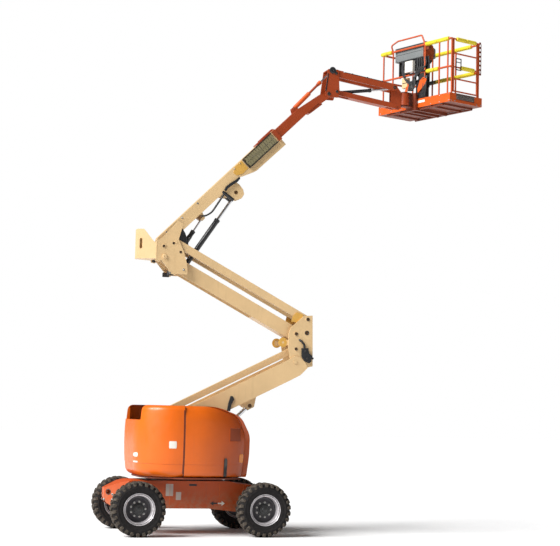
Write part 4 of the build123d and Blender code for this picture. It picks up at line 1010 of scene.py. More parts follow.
# two-way arrow plate: plain black and white arrows on the frame's side
for s, nm in ((-1, "right"), (1, "left")):
    b = Build()
    y = s * 0.380
    def arrow(x0, x1, z, h, mat, out):
        d = 1 if x1 > x0 else -1
        pts = [(x0, z - h * 0.30), (x1 - d * 0.055, z - h * 0.30), (x1 - d * 0.055, z - h), (x1, z), (x1 - d * 0.055, z + h), (x1 - d * 0.055, z + h * 0.30), (x0, z + h * 0.30)]
        b.use(mat).prism(pts, y, y + s * out)
    arrow(0.366, 0.252, 0.483, 0.036, M["console_dark"], 0.0020)
    arrow(0.378, 0.492, 0.483, 0.036, M["blank"], 0.0020)
    b.done(f"drive_arrows_{nm}", "chassis", None)

b = Build()
# weld seams down the frame's side and along the top plate
b.use(M["weld_orange"])
for y, s in ((-0.380, -1), (0.380, 1)):
    for x in (-0.79, -0.40, 0.40, 0.785):
        b.rod(LEVEL(x, y - s * 0.001, 0.44), LEVEL(x, y - s * 0.001, 0.79), 0.004, 8)
b.done("frame_welds", "chassis", "orange_paint")

b = Build()
b.use(M["dark_steel"])
# rings and bolts on the nose plates
for y in (-0.140, 0.140):
    for end, x, z in ((-1, -1.327, 0.637), (1, 1.327, 0.570)):
        n = Vector((0.6545 * end, 0.7561 * (1 if y > 0 else -1), 0))
        c = LEVEL(x, y, z)
        b.turn([(0.0362, -0.008), (0.047, -0.008), (0.047, 0.003), (0.044, 0.0055), (0.0375, 0.0055), (0.0362, 0.004)], c, n, 32, wrap=True)
b.done("tie_down_rings", "chassis", None)

b = Build()
b.use(M["steel"])
for y in (-0.140, 0.140):
    n = Vector((-0.6545, 0.7561 * (1 if y > 0 else -1), 0))
    for dy, z in ((-0.075, 0.52), (0.075, 0.52), (0.075, 0.60)):
        t = Vector((-n.y, n.x, 0))
        b.bolt(LEVEL(-1.327, y, z) + t * dy, n, 0.012, 0.008)
b.done("nose_bolts", "chassis", None)

# bolts round the slewing bearing
b = Build()
b.use(M["steel"])
for k in range(30):
    a = 2 * math.pi * k / 30
    b.bolt(LEVEL(0.293 * math.cos(a), 0.293 * math.sin(a), 0.869) + Vector((0, 0, -0.010)), (0, 0, 1), 0.010, 0.004, washer=False)
b.done("bearing_bolts", "chassis", None)
b = Build()
b.use(M["rubber"])
b.turn([(0.331, 0.0), (0.340, 0.0), (0.340, 0.030), (0.331, 0.030)], LEVEL(0, 0, 0.838), (0, 0, 1), 64, wrap=True)
b.done("bearing_seal", "chassis", None)

# drive motors, hub housings and hoses under the frame
b = Build()
b.use(M["axle"])
for s in (-1, 1):
    b.turn([(0.0, 0.0), (0.055, 0.0), (0.062, 0.012), (0.062, 0.10), (0.050, 0.115), (0.050, 0.16), (0.0, 0.16)], LEVEL(0.990, s * 0.30, 0.42) , (0, s, 0), 32)
    b.turn([(0.0, 0.0), (0.090, 0.0), (0.096, 0.006), (0.096, 0.030), (0.0, 0.036)], LEVEL(0.990, s * 0.600, 0.42), (0, s, 0), 40)
b.box(0.90, 1.08, -0.085, 0.085, 0.30, 0.34)
b.done("drive_housings", "chassis", "black_paint")
b = Build()
b.use(M["hose"])
for s in (-1, 1):
    for k in range(2):
        o = 0.03 * k
        b.pipe([LEVEL(0.80, s * (0.10 + o), 0.60), LEVEL(0.86, s * (0.14 + o), 0.54), LEVEL(0.93, s * (0.24 + o), 0.50), LEVEL(0.985, s * (0.36 + o), 0.485)], 0.010, 10)
        b.pipe([LEVEL(-0.80, s * (0.10 + o), 0.62), LEVEL(-0.88, s * (0.16 + o), 0.57), LEVEL(-0.925, s * (0.30 + o), 0.53), LEVEL(-0.94, s * (0.46 + o), 0.50)], 0.009, 10)
b.done("axle_hoses", "chassis", "black_paint")

# ground control box and valve block behind the right hood; engine dressing behind the left one
b = Build()
b.use(M["console_dark"]).box(-0.24, 0.10, -0.80, -0.62, 1.02, 1.34)
b.use(M["console"]).box(-0.22, 0.08, -0.812, -0.800, 1.04, 1.32)
b.use(M["red"]).rod(LEVEL(0.03, -0.812, 1.27), LEVEL(0.03, -0.836, 1.27), 0.018, 20)
b.use(M["rubber"])
for k in range(5):
    b.rod(LEVEL(-0.18 + 0.045 * k, -0.812, 1.20), LEVEL(-0.18 + 0.045 * k, -0.832, 1.21), 0.006, 10)
b.done("ground_controls", "turntable", "console_grey")
b = Build()
b.use(M["black"]).box(0.16, 0.50, -0.72, -0.40, 0.902, 1.42)
b.use(M["steel"])
for k in range(4):
    for j in range(3):
        b.rod(LEVEL(0.20 + 0.08 * k, -0.720, 1.05 + 0.10 * j), LEVEL(0.20 + 0.08 * k, -0.742, 1.05 + 0.10 * j), 0.016, 6)
b.done("valve_bank", "turntable", "black_paint")
b = Build()
b.use(M["casting"])
for k in range(4):
    b.rod(LEVEL(-0.20 + 0.14 * k, 0.60, 1.47), LEVEL(-0.20 + 0.14 * k, 0.60, 1.50), 0.045, 24)
    b.pipe([LEVEL(-0.20 + 0.14 * k, 0.60, 1.495), LEVEL(-0.20 + 0.14 * k, 0.66, 1.53), LEVEL(-0.20 + 0.14 * k, 0.72, 1.50), LEVEL(-0.20 + 0.14 * k, 0.76, 1.45)], 0.018, 12)
b.use(M["console_dark"]).rod(LEVEL(-0.23, 0.47, 1.545), LEVEL(0.29, 0.47, 1.545), 0.070, 32)
b.use(M["steel"]).pipe([LEVEL(0.20, 0.76, 1.40), LEVEL(0.36, 0.77, 1.42), LEVEL(0.42, 0.72, 1.50), LEVEL(0.42, 0.60, 1.60)], 0.028, 16)
b.done("engine_dressing", "turntable", "engine")
# ---------------------------------------------------------------- riser and boom fittings
def hit_y(node, x, z, side=-1):
    """Lateral distance where a node's outer side is met at a point of the side view."""
    ob = nodes[node]
    inv = ob.matrix_world.inverted()
    o = inv @ G(x, side * 3.0, z)
    d = (inv.to_3x3() @ Vector((0, -side, 0))).normalized()
    ok, p, _, _ = ob.ray_cast(o, d)
    if not ok:
        return None
    return (ob.matrix_world @ p).y - SY


def cap(b, node, x, z, r, mat, h=0.010, side=-1, y=None):
    """Round pin head with a chamfer and a keeper groove."""
    if y is None:
        y = hit_y(node, x, z, side)
    if y is None:
        return b
    b.use(mat)
    b.turn([(r, -0.004), (r, h * 0.7), (r * 0.86, h), (r * 0.30, h), (r * 0.24, h * 0.6), (0.0005, h * 0.6)], LEVEL(x, y, z), (0, side, 0), 28)
    return b


def sunk(b, node, x, z, r, mat, side=-1, y=None):
    """Dark bored boss: a ring with a recessed centre."""
    if y is None:
        y = hit_y(node, x, z, side)
    if y is None:
        return b
    b.use(M["dark_steel"]).turn([(r * 1.25, -0.003), (r * 1.25, 0.003), (r, 0.004), (r * 0.9, 0.0015), (0.0005, 0.0012)], LEVEL(x, y, z), (0, side, 0), 28)
    b.use(mat).turn([(r * 0.85, -0.003), (r * 0.85, 0.0026), (0.0005, 0.0030)], LEVEL(x, y, z), (0, side, 0), 24)
    return b


def plate_px(b, pts, y0, y1, mat):
    return b.use(mat).prism(pts, y0, y1)


def grown(pts, k):
    cx, cz = sum(p[0] for p in pts) / len(pts), sum(p[1] for p in pts) / len(pts)
    return [(cx + (x - cx) * k, cz + (z - cz) * k) for x, z in pts]


for side, nm in ((-1, "right"), (1, "left")):
    b = Build()
    for x, z in ((-0.582, 4.521), (-0.421, 4.578), (-0.303, 4.440)):
        sunk(b, "upright", x, z, 0.017, M["brown"], side)
    cap(b, "upright", -0.560, 4.358, 0.040, M["cream"], 0.012, side)
    for x, z in ((-0.470, 4.10), (-0.245, 4.16), (-0.62, 4.20)):
        y = hit_y("upright", x, z, side)
        if y is not None:
            b.use(M["steel"]).bolt(LEVEL(x, y, z), (0, side, 0), 0.012, 0.008)
    b.done(f"upright_pins_{nm}", "upright", None)

    b = Build()
    for x, z, r in ((1.653, 3.207, 0.022), (1.657, 2.962, 0.020), (1.837, 3.228, 0.030), (1.849, 3.449, 0.022)):
        sunk(b, "tower_knuckle", x, z, r, M["brown"], side)
    b.done(f"knuckle_pins_{nm}", "tower_knuckle", None)

# wear pads and stops under the upright
b = Build()
b.use(M["rubber"])
for side in (-1, 1):
    b.box(-0.505, -0.400, side * 0.150, side * 0.205, 4.062, 4.132)
    b.box(-0.690, -0.640, side * 0.120, side * 0.180, 4.285, 4.335)
b.done("upright_stops", "upright", "black_paint", bevel=0.006)

# dark guard in the boom's root, between the upright's plates
b = Build()
guard = [(-0.381, 4.893), (-0.298, 4.866), (-0.225, 4.760), (-0.175, 4.640), (-0.165, 4.551), (-0.237, 4.482), (-0.315, 4.560), (-0.372, 4.700), (-0.395, 4.800)]
for side in (-1, 1):
    b.use(M["black"]).prism(guard, side * 0.120, side * 0.150)
b.use(M["black"])
for side in (-1, 1):
    b.pipe([LEVEL(-0.36, side * 0.156, 4.86), LEVEL(-0.26, side * 0.158, 4.78), LEVEL(-0.20, side * 0.158, 4.66), LEVEL(-0.19, side * 0.156, 4.56)], 0.010, 10)
b.done("boom_root_guard", "upright", "black_paint", bevel=0.004)

# heavier gland and jacket on the level master cylinder
MB, ME = Vector(LEVEL(-0.293, 0, 4.443)), None
mdeg = math.degrees(math.atan2((-0.576, 4.535)[1] + 0.800 * math.sin(math.radians(45)) - 0.115 * math.cos(math.radians(45)) - 4.443,
                               -0.576 + 0.800 * math.cos(math.radians(45)) + 0.115 * math.sin(math.radians(45)) + 0.293))
MC = frame_of((-0.293, 4.443), mdeg)
b = Build(MC)
b.use(M["black"])
ax = (MC(1, 0, 0) - MC(0, 0, 0))
b.turn([(0.026, 0.13), (0.037, 0.135), (0.040, 0.145), (0.040, 0.330), (0.038, 0.340), (0.036, 0.345), (0.036, 0.420), (0.033, 0.428), (0.026, 0.428)], MC(0, 0, 0), ax, 32, wrap=True)
b.use(M["steel"])
b.rod(MC(0.30, -0.037, 0.0), MC(0.30, -0.044, 0.0), 0.010, 6)
b.done("master_jacket", "master_cylinder_barrel", "black_paint")

# hose from the master cylinder up to the lift lug, with its fittings and clamps
BO = frame_of((-0.576, 4.535), 45.0)
b = Build()
b.use(M["hose"])
for y in (-0.060, -0.085):
    b.pipe([LEVEL(0.030, y, 5.045), LEVEL(0.080, y, 5.060), LEVEL(0.129, y, 5.070), LEVEL(0.222, y, 5.134), LEVEL(0.307, y, 5.261), LEVEL(0.411, y, 5.427)], 0.014, 12)
b.use(M["brown"])
b.rod(LEVEL(0.000, -0.072, 5.000), LEVEL(0.040, -0.072, 5.055), 0.030, 6)
b.use(M["black"])
b.rod(LEVEL(0.385, -0.075, 5.475), LEVEL(0.575, -0.075, 5.345), 0.030, 20)
b.rod(LEVEL(0.385, 0.075, 5.475), LEVEL(0.575, 0.075, 5.345), 0.030, 20)
b.done("boom_hoses", "main_boom", "black_paint")

# painted shadow: black band on each side of the boom along its lower edge over the lift lug, standing in for the shaded
# gap between lug and boom
b = Build()
for side in (-1, 1):
    band = [(0.405, 5.500), (0.440, 5.560), (0.520, 5.628), (0.600, 5.680), (0.660, 5.735), (0.672, 5.700), (0.625, 5.640), (0.545, 5.590), (0.470, 5.525), (0.440, 5.480)]
    b.use(M["black"]).prism(band, side * 0.0965, side * 0.118)
b.done("lug_shadow_band", "main_boom", "black_paint", bevel=0.004)

b = Build()
for side in (-1, 1):
    y = hit_y("main_boom", 0.612, 5.475, side) or side * 0.10
    b.use(M["brown"]).turn([(0.030, -0.003), (0.030, 0.004), (0.022, 0.006), (0.018, 0.002), (0.0005, 0.002)], LEVEL(0.612, y, 5.475), (0, side, 0), 28)
    for a in (0.20, 0.55, 0.90, 1.75, 1.88):
        q = BO(a, 0, 0.118)
        y2 = hit_y("main_boom", q.x - SX, q.z, side)
        if y2 is not None:
            b.use(M["steel"]).bolt(LEVEL(q.x - SX, y2, q.z), (0, side, 0), 0.010, 0.006)
b.done("boom_bolts", "main_boom", None)

# ochre wear patch and the steel lips of the hose tray beside the boom
b = Build(BO)
y = -0.0955
b.use(M["gold"]).prism([(1.690, 0.085), (1.780, 0.140), (1.925, 0.140), (1.935, -0.020), (1.800, -0.030), (1.700, 0.020)], y, y - 0.004)
b.done("boom_wear_patch", "main_boom", None, bevel=0.001)

b = Build(BO)
b.use(M["black"])
for z0, z1 in ((0.142, 0.152), (-0.044, -0.030)):
    b.box(1.95, 2.62, -0.132, -0.097, z0, z1)
b.prism([(1.945, -0.03), (1.96, -0.04), (1.96, 0.15), (1.945, 0.14)], -0.132, -0.097)
b.use(M["dark_steel"])
for k in range(6):
    b.box(1.99 + 0.105 * k, 1.998 + 0.105 * k, -0.131, -0.128, -0.03, 0.142)
b.done("carrier_tray", "main_boom", "black_paint", bevel=0.002)

# links of the cable carrier
b = Build(BO)
for k in range(13):
    a = 1.972 + 0.0485 * k
    b.use(M["carrier"]).prism([(a, -0.018), (a + 0.036, -0.018), (a + 0.044, -0.008), (a + 0.044, 0.120), (a + 0.036, 0.130), (a, 0.130), (a + 0.008, 0.118), (a + 0.008, -0.006)], -0.1285, -0.134)
    b.use(M["dark_steel"]).turn([(0.007, 0.0), (0.007, 0.003), (0.0005, 0.004)], BO(a + 0.025, -0.134, 0.056), (0, -1, 0), 14)
b.done("carrier_links", "main_boom", "carrier_plastic", bevel=0.001)

# knuckle: elbow fitting and hoses, round pad, ochre guard
b = Build()
elbow = [(1.737, 2.976), (1.851, 2.980), (1.862, 2.900), (1.925, 2.852), (1.905, 2.760), (1.870, 2.735), (1.785, 2.770), (1.740, 2.839)]
b.use(M["black"]).prism(elbow, -0.231, -0.264)
b.use(M["hose"])
b.pipe([LEVEL(1.79, -0.235, 2.96), LEVEL(1.785, -0.240, 3.03), LEVEL(1.74, -0.225, 3.09), LEVEL(1.70, -0.185, 3.12)], 0.018, 12)
b.rod(LEVEL(1.86, -0.247, 2.840), LEVEL(1.945, -0.247, 2.812), 0.016, 20)
b.use(M["dark_steel"])
b.rod(LEVEL(1.80, -0.264, 2.93), LEVEL(1.80, -0.274, 2.93), 0.022, 6)
b.rod(LEVEL(1.800, -0.206, 2.955), LEVEL(1.800, -0.233, 2.955), 0.020, 20)
b.rod(LEVEL(1.83, -0.264, 2.81), LEVEL(1.83, -0.274, 2.81), 0.022, 6)
b.done("knuckle_elbow", "tower_knuckle", "black_paint", bevel=0.005)

# lower arm: strap and tower cylinder lug pin
b = Build()
y = hit_y("lower_arm", 0.58, 2.10) or -0.228
b.use(M["black"]).prism([(0.575, 2.175), (0.615, 2.170), (0.635, 2.120), (0.590, 2.030), (0.575, 1.930), (0.520, 1.935), (0.540, 2.060)], y - 0.001, y - 0.016)
b.done("lower_arm_strap", "lower_arm", "black_paint", bevel=0.004)
b = Build()
for side in (-1, 1):
    for x, z, r in ((1.645, 2.751, 0.022),):
        sunk(b, "lower_arm", x, z, r, M["brown"], side, y=side * 0.228)
b.done("lower_arm_pins", "lower_arm", None)

# tower cylinder: black collar at the rod's eye and its oily pin
TD = math.degrees(math.atan2(2.0242 - 0.960, 0.9385 + 0.190))
TC = frame_of((-0.190, 0.960), TD)
b = Build()
b.use(M["black"]).turn([(0.026, 1.487), (0.044, 1.489), (0.048, 1.493), (0.048, 1.507), (0.044, 1.511), (0.026, 1.512)], TC(0, 0, 0), TC(1, 0, 0) - TC(0, 0, 0), 32, wrap=True)
b.done("tower_rod_collar", "tower_cylinder_rod", "black_paint")
b = Build()
for side in (-1, 1):
    sunk(b, "lower_arm", 0.9385, 2.0242, 0.026, M["brown"], side)
    for x, z in ((-0.625, 1.609), (-0.612, 1.815)):
        cap(b, "turntable_frame", x, z, 0.036, M["cream"], 0.010, side)
b.done("tower_eye_pins", "lower_arm", None)

# knuckle: round stop beside the plates and ochre guard at the top
b = Build()
for side in (-1, 1):
    y0, y1 = side * 0.1795, side * 0.1890
    b.use(M["cream"]).prism([(1.405, 3.020), (1.600, 3.020), (1.600, 3.105), (1.405, 3.105)], y0, y1)
    b.use(M["gold"]).turn([(0.074, 0.0), (0.078, 0.003), (0.078, 0.0075), (0.060, 0.0095), (0.020, 0.0095), (0.016, 0.006), (0.0005, 0.006)], LEVEL(1.440, side * 0.1800, 3.062), (0, side, 0), 36)
    b.use(M["gold"]).prism([(1.575, 3.405), (1.600, 3.500), (1.665, 3.560), (1.760, 3.530), (1.790, 3.440), (1.700, 3.385)], y0, y1)
b.done("knuckle_stops", "tower_knuckle", "cream_paint", bevel=0.0015)

# jib bracket: black cap over its top, dark back edge and pin heads
b = Build()
b.use(M["black"])
for side in (-1, 1):
    b.turn([(0.052, 0.0), (0.056, 0.003), (0.056, 0.012), (0.048, 0.016), (0.016, 0.016), (0.014, 0.012), (0.0005, 0.012)], LEVEL(2.205, side * 0.1352, 7.622), (0, side, 0), 36)
for side in (-1, 1):
    b.prism([(2.083, 7.260), (2.104, 7.262), (2.140, 7.560), (2.120, 7.560)], side * 0.1355, side * 0.1400)
b.done("bracket_cap", "jib_bracket", "black_paint", bevel=0.003)
b = Build()
for side in (-1, 1):
    for x, z, r in ((2.150, 7.220, 0.030), (2.270, 7.575, 0.024), (2.290, 7.270, 0.024)):
        cap(b, "jib_bracket", x, z, r, M["dark_steel"], 0.008, side)
b.done("bracket_pins", "jib_bracket", None)

# slave cylinder: painted jacket with gland
SB = (-0.576 + (3.214 - 0.176) * math.cos(math.radians(45)), 4.535 + (3.214 + 0.176) * math.sin(math.radians(45)))
SD = math.degrees(math.atan2(7.590 - SB[1], 2.180 - SB[0]))
SL = math.hypot(2.180 - SB[0], 7.590 - SB[1])
SF = frame_of(SB, SD)
b = Build()
sx = SF(1, 0, 0) - SF(0, 0, 0)
b.use(M["orange"]).turn([(0.022, 0.030), (0.036, 0.034), (0.036, 0.400), (0.030, 0.408), (0.022, 0.410)], SF(0, 0, 0), sx, 32, wrap=True)
b.use(M["orange"]).turn([(0.022, SL * 0.70), (0.034, SL * 0.70 + 0.004), (0.034, SL * 0.70 + 0.060), (0.022, SL * 0.70 + 0.064)], SF(0, 0, 0), sx, 32, wrap=True)
b.done("slave_jacket", "slave_cylinder_barrel", "orange_paint")

# jib arms: pin heads, hose run and clamps
JD = math.radians(-8)
b = Build()
for side in (-1, 1):
    for (x, z), node, r in (((2.270, 7.575), "jib_upper_arm", 0.030), ((2.270 + 1.06 * math.cos(JD), 7.575 + 1.06 * math.sin(JD)), "jib_upper_arm", 0.030)):
        cap(b, node, x, z, r, M["dark_steel"], 0.004, side, y=side * 0.1142)
b.done("jib_pins", "jib_upper_arm", None)
JUF = frame_of((2.270, 7.575), -8.0)
b = Build()
b.use(M["hose"])
for k in range(3):
    b.pipe([JUF(0.150, -0.108 + 0.009 * k, 0.0585), JUF(0.30, -0.108 + 0.009 * k, 0.0600), JUF(0.60, -0.108 + 0.009 * k, 0.0590), JUF(0.95, -0.108 + 0.009 * k, 0.0585)], 0.0042, 10)
b.use(M["dark_steel"])
for a in (0.28, 0.55, 0.82):
    b.prism([(0, 0)] * 0 or [(JUF(a, 0, 0.050).x - SX, JUF(a, 0, 0.050).z), (JUF(a + 0.02, 0, 0.050).x - SX, JUF(a + 0.02, 0, 0.050).z), (JUF(a + 0.02, 0, 0.068).x - SX, JUF(a + 0.02, 0, 0.068).z), (JUF(a, 0, 0.068).x - SX, JUF(a, 0, 0.068).z)], -0.1145, -0.086)
b.done("jib_hoses", "jib_upper_arm", "black_paint")

# fly boom: painted collar and hose guard where it leaves the main boom
b = Build(BO)
b.use(M["boom_orange_painted_shade"])
for y0, y1 in ((-0.1345, -0.0955), (0.0955, 0.100)):
    b.box(2.635, 2.700, y0, y1, -0.043, 0.156)
b.box(2.30, 2.700, -0.100, 0.100, 0.1505, 0.170)
b.box(2.40, 2.700, -0.060, 0.060, 0.170, 0.182)
b.done("boom_tip_guard", "main_boom", "orange_paint", bevel=0.004)
b = Build(BO)
b.use(M["rubber"])
for y0, y1, z0, z1 in ((-0.093, -0.077, -0.030, 0.140), (0.077, 0.093, -0.030, 0.140)):
    b.box(2.694, 2.712, y0, y1, z0, z1)
b.done("boom_wear_pads", "main_boom", "black_paint", bevel=0.002)
# ---------------------------------------------------------------- platform fittings
# console: faceted housing with a framed front, lid, joysticks and switches
b = Plat()
b.use(M["console"])
prof = [(254, 7986), (254, 8208), (264, 8226), (352, 8244), (364, 8241), (532, 8144), (540, 8130), (540, 7984), (530, 7976), (264, 7976)]
rings = []
for y in (-186, -182, 522, 526):
    k = 0.985 if y in (-186, 526) else 1.0
    rings.append([P(254 + (x - 254) * k, y, 7976 + (z - 7976) * k) for x, z in prof])
b.loops(rings)
b.use(M["console_dark"])
# lid line, dark lip along the upper front and vents
b.cube(248, 256, -180, 520, 8150, 8164)
b.sheet([(250, -188), (262, -188), (262, 528), (250, 528)], 8200, 8216)
b.cube(251, 256, -170, 510, 8092, 8098)
for y in (-150, 490):
    for z in (8005, 8125):
        b.rod(P(256, y, z), P(249, y, z), 0.007, 6)
b.done("console_shell", "platform", "console_grey", bevel=0.002)

b = Plat()
# brownish side panel and bracket at the console's near end, both in orange darkened as painted shade
b.use(M["boom_orange_painted_shade"])
b.loops([[P(x, y, z) for x, z in ((250, 7900), (470, 7950), (500, 8080), (470, 8190), (360, 8250), (250, 8240))] for y in (-196, -184)])
b.use(M["deck_painted_shade"])
b.cube(244, 300, -330, -190, 8075, 8140)
b.done("console_side_panel", "platform", "orange_paint", bevel=0.003)

b = Plat()
# sticks with ribbed boots, switches, stop button and blank labels on the sloping top
def on_top(x, y, up=0.0):
    z = 8241 - (x - 364) * 0.5774
    return P(x + 0.504 * up, y, z + 0.864 * up)
for y in (10, 210, 400):
    base = on_top(430, y)
    n = (on_top(430, y, 10) - base).normalized()
    b.use(M["rubber"])
    b.turn([(0.036, -0.002), (0.036, 0.006), (0.028, 0.010), (0.031, 0.016), (0.023, 0.020), (0.026, 0.026), (0.018, 0.031), (0.011, 0.036)], base, n, 24)
    b.use(M["dark_steel"]).rod(base + n * 0.034, base + n * 0.062, 0.005, 12)
    b.use(M["hose"]).turn([(0.006, 0.060), (0.013, 0.066), (0.015, 0.078), (0.012, 0.092), (0.004, 0.098)], base, n, 20)
b.use(M["red"])
base = on_top(420, -110)
n = (on_top(420, -110, 10) - base).normalized()
b.turn([(0.012, -0.002), (0.012, 0.014), (0.024, 0.017), (0.026, 0.026), (0.018, 0.033), (0.0005, 0.034)], base, n, 28)
b.use(M["steel"])
for k in range(8):
    q = on_top(495, -120 + 80 * k)
    b.rod(q, q + n * 0.018, 0.0045, 10)
b.use(M["blank"])
for k in range(3):
    pts = [on_top(390, 60 + 190 * k), on_top(390, 140 + 190 * k), on_top(405, 140 + 190 * k), on_top(405, 60 + 190 * k)]
    b.loops([[p - n * 0.001 for p in pts], [p + n * 0.0012 for p in pts]])
b.done("console_controls", "platform", "black_paint")

b = Plat()
# dark bracket work under the console, with box, looms and hoses
b.use(M["black"])
b.loops([[P(x, y, z) for y, z in ((400, 7975), (-300, 7975), (-330, 7800), (-325, 7425), (-170, 7390), (-60, 7400), (-50, 7640), (40, 7760), (230, 7850), (330, 7900))] for x in (268, 284)])
b.cube(284, 430, -60, 330, 7860, 7975)
b.cube(250, 268, 150, 260, 7700, 7975)
b.done("console_bracket", "platform", "black_paint", bevel=0.006)
b = Plat()
b.use(M["dark_steel"])
b.cube(222, 268, -250, -120, 7560, 7800)
b.cube(228, 268, 200, 330, 7730, 7800)
b.cube(236, 268, -10, 60, 7520, 7660)
for y, z in ((-230, 7780), (-140, 7780), (-230, 7580), (-140, 7580), (220, 7765), (310, 7765)):
    b.rod(P(222, y, z), P(214, y, z), 0.009, 6)
b.done("loom_boxes", "platform", None, bevel=0.003)
b = Plat()
b.use(M["black"])
b.cube(218, 290, -300, -50, 7118, 7560)
for k in range(5):
    b.cube(212, 219, -290, -60, 7180 + 80 * k, 7200 + 80 * k)
b.use(M["dark_steel"])
for k in range(3):
    b.rod(P(250, -260 + 80 * k, 7560), P(250, -260 + 80 * k, 7600), 0.022, 20)
b.done("rotator_valve_block", "platform", "black_paint", bevel=0.006)
b = Plat()
b.use(M["white_box"])
b.cube(188, 252, 12, 205, 7742, 7932)
b.cube(184, 188, 22, 195, 7752, 7922)
b.use(M["steel"])
b.rod(P(184, 40, 7838), P(178, 40, 7838), 0.010, 6)
b.use(M["console_dark"])
b.cube(190, 250, 20, 196, 7932, 7940)
b.done("manual_box", "platform", None, bevel=0.004)
b = Plat()
b.use(M["cream"])
b.cube(200, 262, 150, 285, 7480, 7655)
b.use(M["dark_steel"])
b.cube(196, 200, 160, 275, 7560, 7572)
b.done("cream_box", "platform", None, bevel=0.005)
b = Plat()
b.use(M["hose"])
for k, (y0, y1) in enumerate(((330, 60), (300, 20), (-60, -60), (-110, -20), (-160, 20), (-210, 50), (-260, 80))):
    b.pipe([P(258 - 3 * k, y0, 7960), P(232, y0 - 10, 7800), P(205, (y0 + y1) / 2 + 25, 7640), P(188, y1, 7500), P(150 + 4 * k, y1 * 0.8, 7420), P(118 + 6 * k, 20 - 12 * k, 7395)], 0.013, 10)
for k in range(3):
    b.pipe([P(240, -300 + 34 * k, 7620), P(214, -310 + 34 * k, 7520), P(212, -300 + 34 * k, 7380), P(216, -270 + 34 * k, 7262)], 0.017, 12)
b.use(M["black"])
for z in (7700, 7560):
    b.cube(196, 250, -285, 120, z, z + 16)
b.done("platform_hoses", "platform", "black_paint")

b = Plat()
# curved guard straps between the rotator carrier and the rails
b.use(M["orange"])
for y0 in (120,):
    pts = [(214, 7560), (196, 7480), (170, 7400), (158, 7320), (160, 7230), (178, 7160), (208, 7112)]
    outer = [P(x, y0, z) for x, z in pts]
    inner = [P(x + 16, y0, z + 4) for x, z in pts]
    o2 = [P(x, y0 + 62, z) for x, z in pts]
    i2 = [P(x + 16, y0 + 62, z + 4) for x, z in pts]
    b.loops([[outer[k], o2[k], i2[k], inner[k]] for k in range(len(pts))])
b.loops([[P(x, y, z) for y, z in ((-120, 7345), (-310, 7480), (-330, 7560), (-250, 7600), (-170, 7560), (-110, 7420))] for x in (196, 212)])
b.done("carrier_straps", "platform", "orange_paint", bevel=0.003)

b = Plat()
# blank stickers on the toe boards
b.use(M["blank"])
b.cube(207.4, 209.2, -285, -70, 7172, 7212)
b.cube(207.4, 209.2, 330, 420, 7150, 7195)
b.done("toe_labels", "platform", None, bevel=0.0004)

b = Plat()
# expanded mesh let into the entry end's toe board
b.use(M["mesh_grey"])
b.cube(362, 770, -893.5, -890.8, 7148, 7238)
for k in range(34):
    x = 366 + 12 * k
    for s in (1, -1):
        b.loops([[P(x + s * 5 * j - 1.2, -896.5, 7150 + 21.5 * (j + 0)) for j in (0,)] + [P(x + s * 5 * 4 - 1.2, -896.5, 7236), P(x + s * 5 * 4 + 1.2, -896.5, 7236), P(x + 1.2, -896.5, 7150)],
                 [P(x - 1.2, -893.5, 7150), P(x + s * 5 * 4 - 1.2, -893.5, 7236), P(x + s * 5 * 4 + 1.2, -893.5, 7236), P(x + 1.2, -893.5, 7150)]])
b.use(M["deck_painted_shade"])
b.cube(350, 782, -899, -890.5, 7140, 7149)
b.cube(350, 782, -899, -890.5, 7237, 7246)
b.done("toe_mesh", "platform", None)

b = Plat()
# perforated guide plate beside the entry's far post
b.use(M["deck_painted_shade"])
for x0, x1 in ((898, 908), (942, 952)):
    b.cube(x0, x1, -872, -862, 7640, 8176)
for k in range(8):
    z = 7640 + 76 * k
    b.cube(907, 943, -871, -863, z, z + 34)
b.done("slotted_guide", "platform", "orange_paint", bevel=0.002)

b = Plat()
# gate catch: small dark frame
b.use(M["console_dark"])
for (x0, x1, z0, z1) in ((345, 470, 7828, 7844), (345, 470, 7640, 7656), (345, 359, 7640, 7844), (456, 470, 7640, 7844), (345, 470, 7770, 7782)):
    b.cube(x0, x1, -892, -880, z0, z1)
b.done("gate_catch", "platform_gate", "black_paint", bevel=0.002)

b = Plat()
# underfloor: stiffening ribs and cross tubes under the floor plate
b.use(M["deck_painted_shade"])
for y in (-700, -430, 330, 610):
    b.cube(235, 930, y, y + 30, 7068, 7094)
b.rod(P(905, -700, 7072), P(905, 700, 7072), 0.016, 16)
b.rod(P(245, -700, 7072), P(245, -140, 7072), 0.016, 16)
b.rod(P(245, 140, 7072), P(245, 700, 7072), 0.016, 16)
b.done("floor_ribs", "platform", "orange_paint", bevel=0.003)

# kick plate bolts and post feet
b = Plat()
b.use(M["steel"])
for y in (-860, -640, -430, 300, 560, 840):
    for z in (7118, 7225):
        b.bolt(P(209, y, z), P(-1, 0, 0) - P(0, 0, 0), 0.007, 0.004)
for x in (240, 330, 830, 925):
    b.bolt(P(x, -891, 7118), P(0, -1, 0) - P(0, 0, 0), 0.007, 0.004)
b.done("toe_bolts", "platform", None)
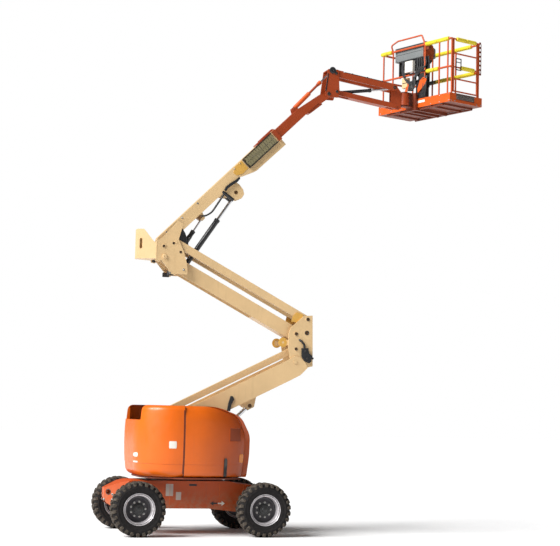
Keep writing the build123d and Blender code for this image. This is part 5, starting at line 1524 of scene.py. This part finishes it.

# ---------------------------------------------------------------- CAD nodes keep their shape and get their finish
# fly_boom, the jib arms, jib_bracket, platform_support and slave_cylinder_barrel take the boom orange darkened as
# painted shade
# turntable_frame and platform_floor take the orange darkened as painted shade
for node, key in (("chassis_frame", "orange_low"), ("turntable_frame", "deck_painted_shade"), ("counterweight", "cover"), ("hood_left", "cover"),
                  ("hood_right", "cover"), ("toe_boards", "orange"), ("platform_rails", "rail"), ("platform_gate", "rail"),
                  ("platform_floor", "deck_painted_shade"), ("platform_support", "boom_orange_painted_shade"), ("slave_cylinder_barrel", "boom_orange_painted_shade"),
                  ("lower_arm", "cream"), ("lower_link", "cream"), ("tower_knuckle", "cream"), ("mid_arm", "cream"), ("mid_link", "cream"),
                  ("upright", "cream"), ("main_boom", "cream"), ("fly_boom", "boom_orange_painted_shade"), ("jib_upper_arm", "boom_orange_painted_shade"),
                  ("jib_lower_arm", "boom_orange_painted_shade"), ("jib_bracket", "boom_orange_painted_shade"), ("steer_axle", "axle"), ("drive_axle", "axle"),
                  ("steer_knuckle_left", "axle"), ("steer_knuckle_right", "axle"), ("tie_rod", "axle"),
                  ("tower_cylinder_barrel", "black"), ("lift_cylinder_barrel", "black"), ("master_cylinder_barrel", "black"),
                  ("jib_cylinder_barrel", "black"), ("tower_cylinder_rod", "chrome"), ("lift_cylinder_rod", "chrome"),
                  ("master_cylinder_rod", "chrome"), ("slave_cylinder_rod", "chrome"), ("jib_cylinder_rod", "chrome"),
                  ("engine_block", "casting"), ("slew_bearing", "dark_steel"), ("cable_carrier", "carrier"), ("rail_pads", "pad"),
                  ("control_console", "console_dark")):
    if node in nodes:
        dress(node, M[key])

# ---------------------------------------------------------------- floor and light
floor_mesh = bpy.data.meshes.new("floor")
floor_mesh.from_pydata([(-60, -60, 0), (60, -60, 0), (60, 90, 0), (-60, 90, 0)], [], [(0, 1, 2, 3)])
floor = bpy.data.objects.new("floor", floor_mesh)
scene.collection.objects.link(floor)
fl = Nodes("pale_floor")
fl.color(fl.mix(fl.span(fl.noise(0.6, 4, 0.5), 0.3, 0.7), (0.93, 0.93, 0.93, 1), (0.96, 0.96, 0.96, 1)))
fl.rough(fl.span(fl.noise(4, 3, 0.5), 0.3, 0.7, 0.75, 0.9))
fl.normal(fl.bump(fl.noise(30, 3, 0.5), 0.0005, 0.2))
floor_mesh.materials.append(fl.mat)

world = bpy.data.worlds.new("studio")
scene.world = world
world.use_nodes = True
wt = world.node_tree
back = wt.nodes["Background"]
back.inputs["Color"].default_value = (1, 1, 1, 1)
ray = wt.nodes.new("ShaderNodeLightPath")
level = wt.nodes.new("ShaderNodeMapRange")
level.inputs["To Min"].default_value = 0.15
level.inputs["To Max"].default_value = 1.0
wt.links.new(ray.outputs["Is Camera Ray"], level.inputs["Value"])
wt.links.new(level.outputs[0], back.inputs["Strength"])


def area(name, loc, aim, size, power, color=(1, 1, 1)):
    d = bpy.data.lights.new(name, "AREA")
    d.shape = "DISK"
    d.size = size
    d.energy = power
    d.color = color
    o = bpy.data.objects.new(name, d)
    o.location = loc
    o.rotation_euler = (Vector(aim) - Vector(loc)).to_track_quat("-Z", "Y").to_euler()
    scene.collection.objects.link(o)
    return o


def sun(name, direction, strength, angle):
    d = bpy.data.lights.new(name, "SUN")
    d.energy = strength
    d.angle = math.radians(angle)
    o = bpy.data.objects.new(name, d)
    o.rotation_euler = Vector(direction).to_track_quat("-Z", "Y").to_euler()
    scene.collection.objects.link(o)


sun("key_from_left", (0.76, 0.24, -0.60), 5.6, 34)
scene.view_settings.view_transform = "Standard"
scene.view_settings.look = "None"
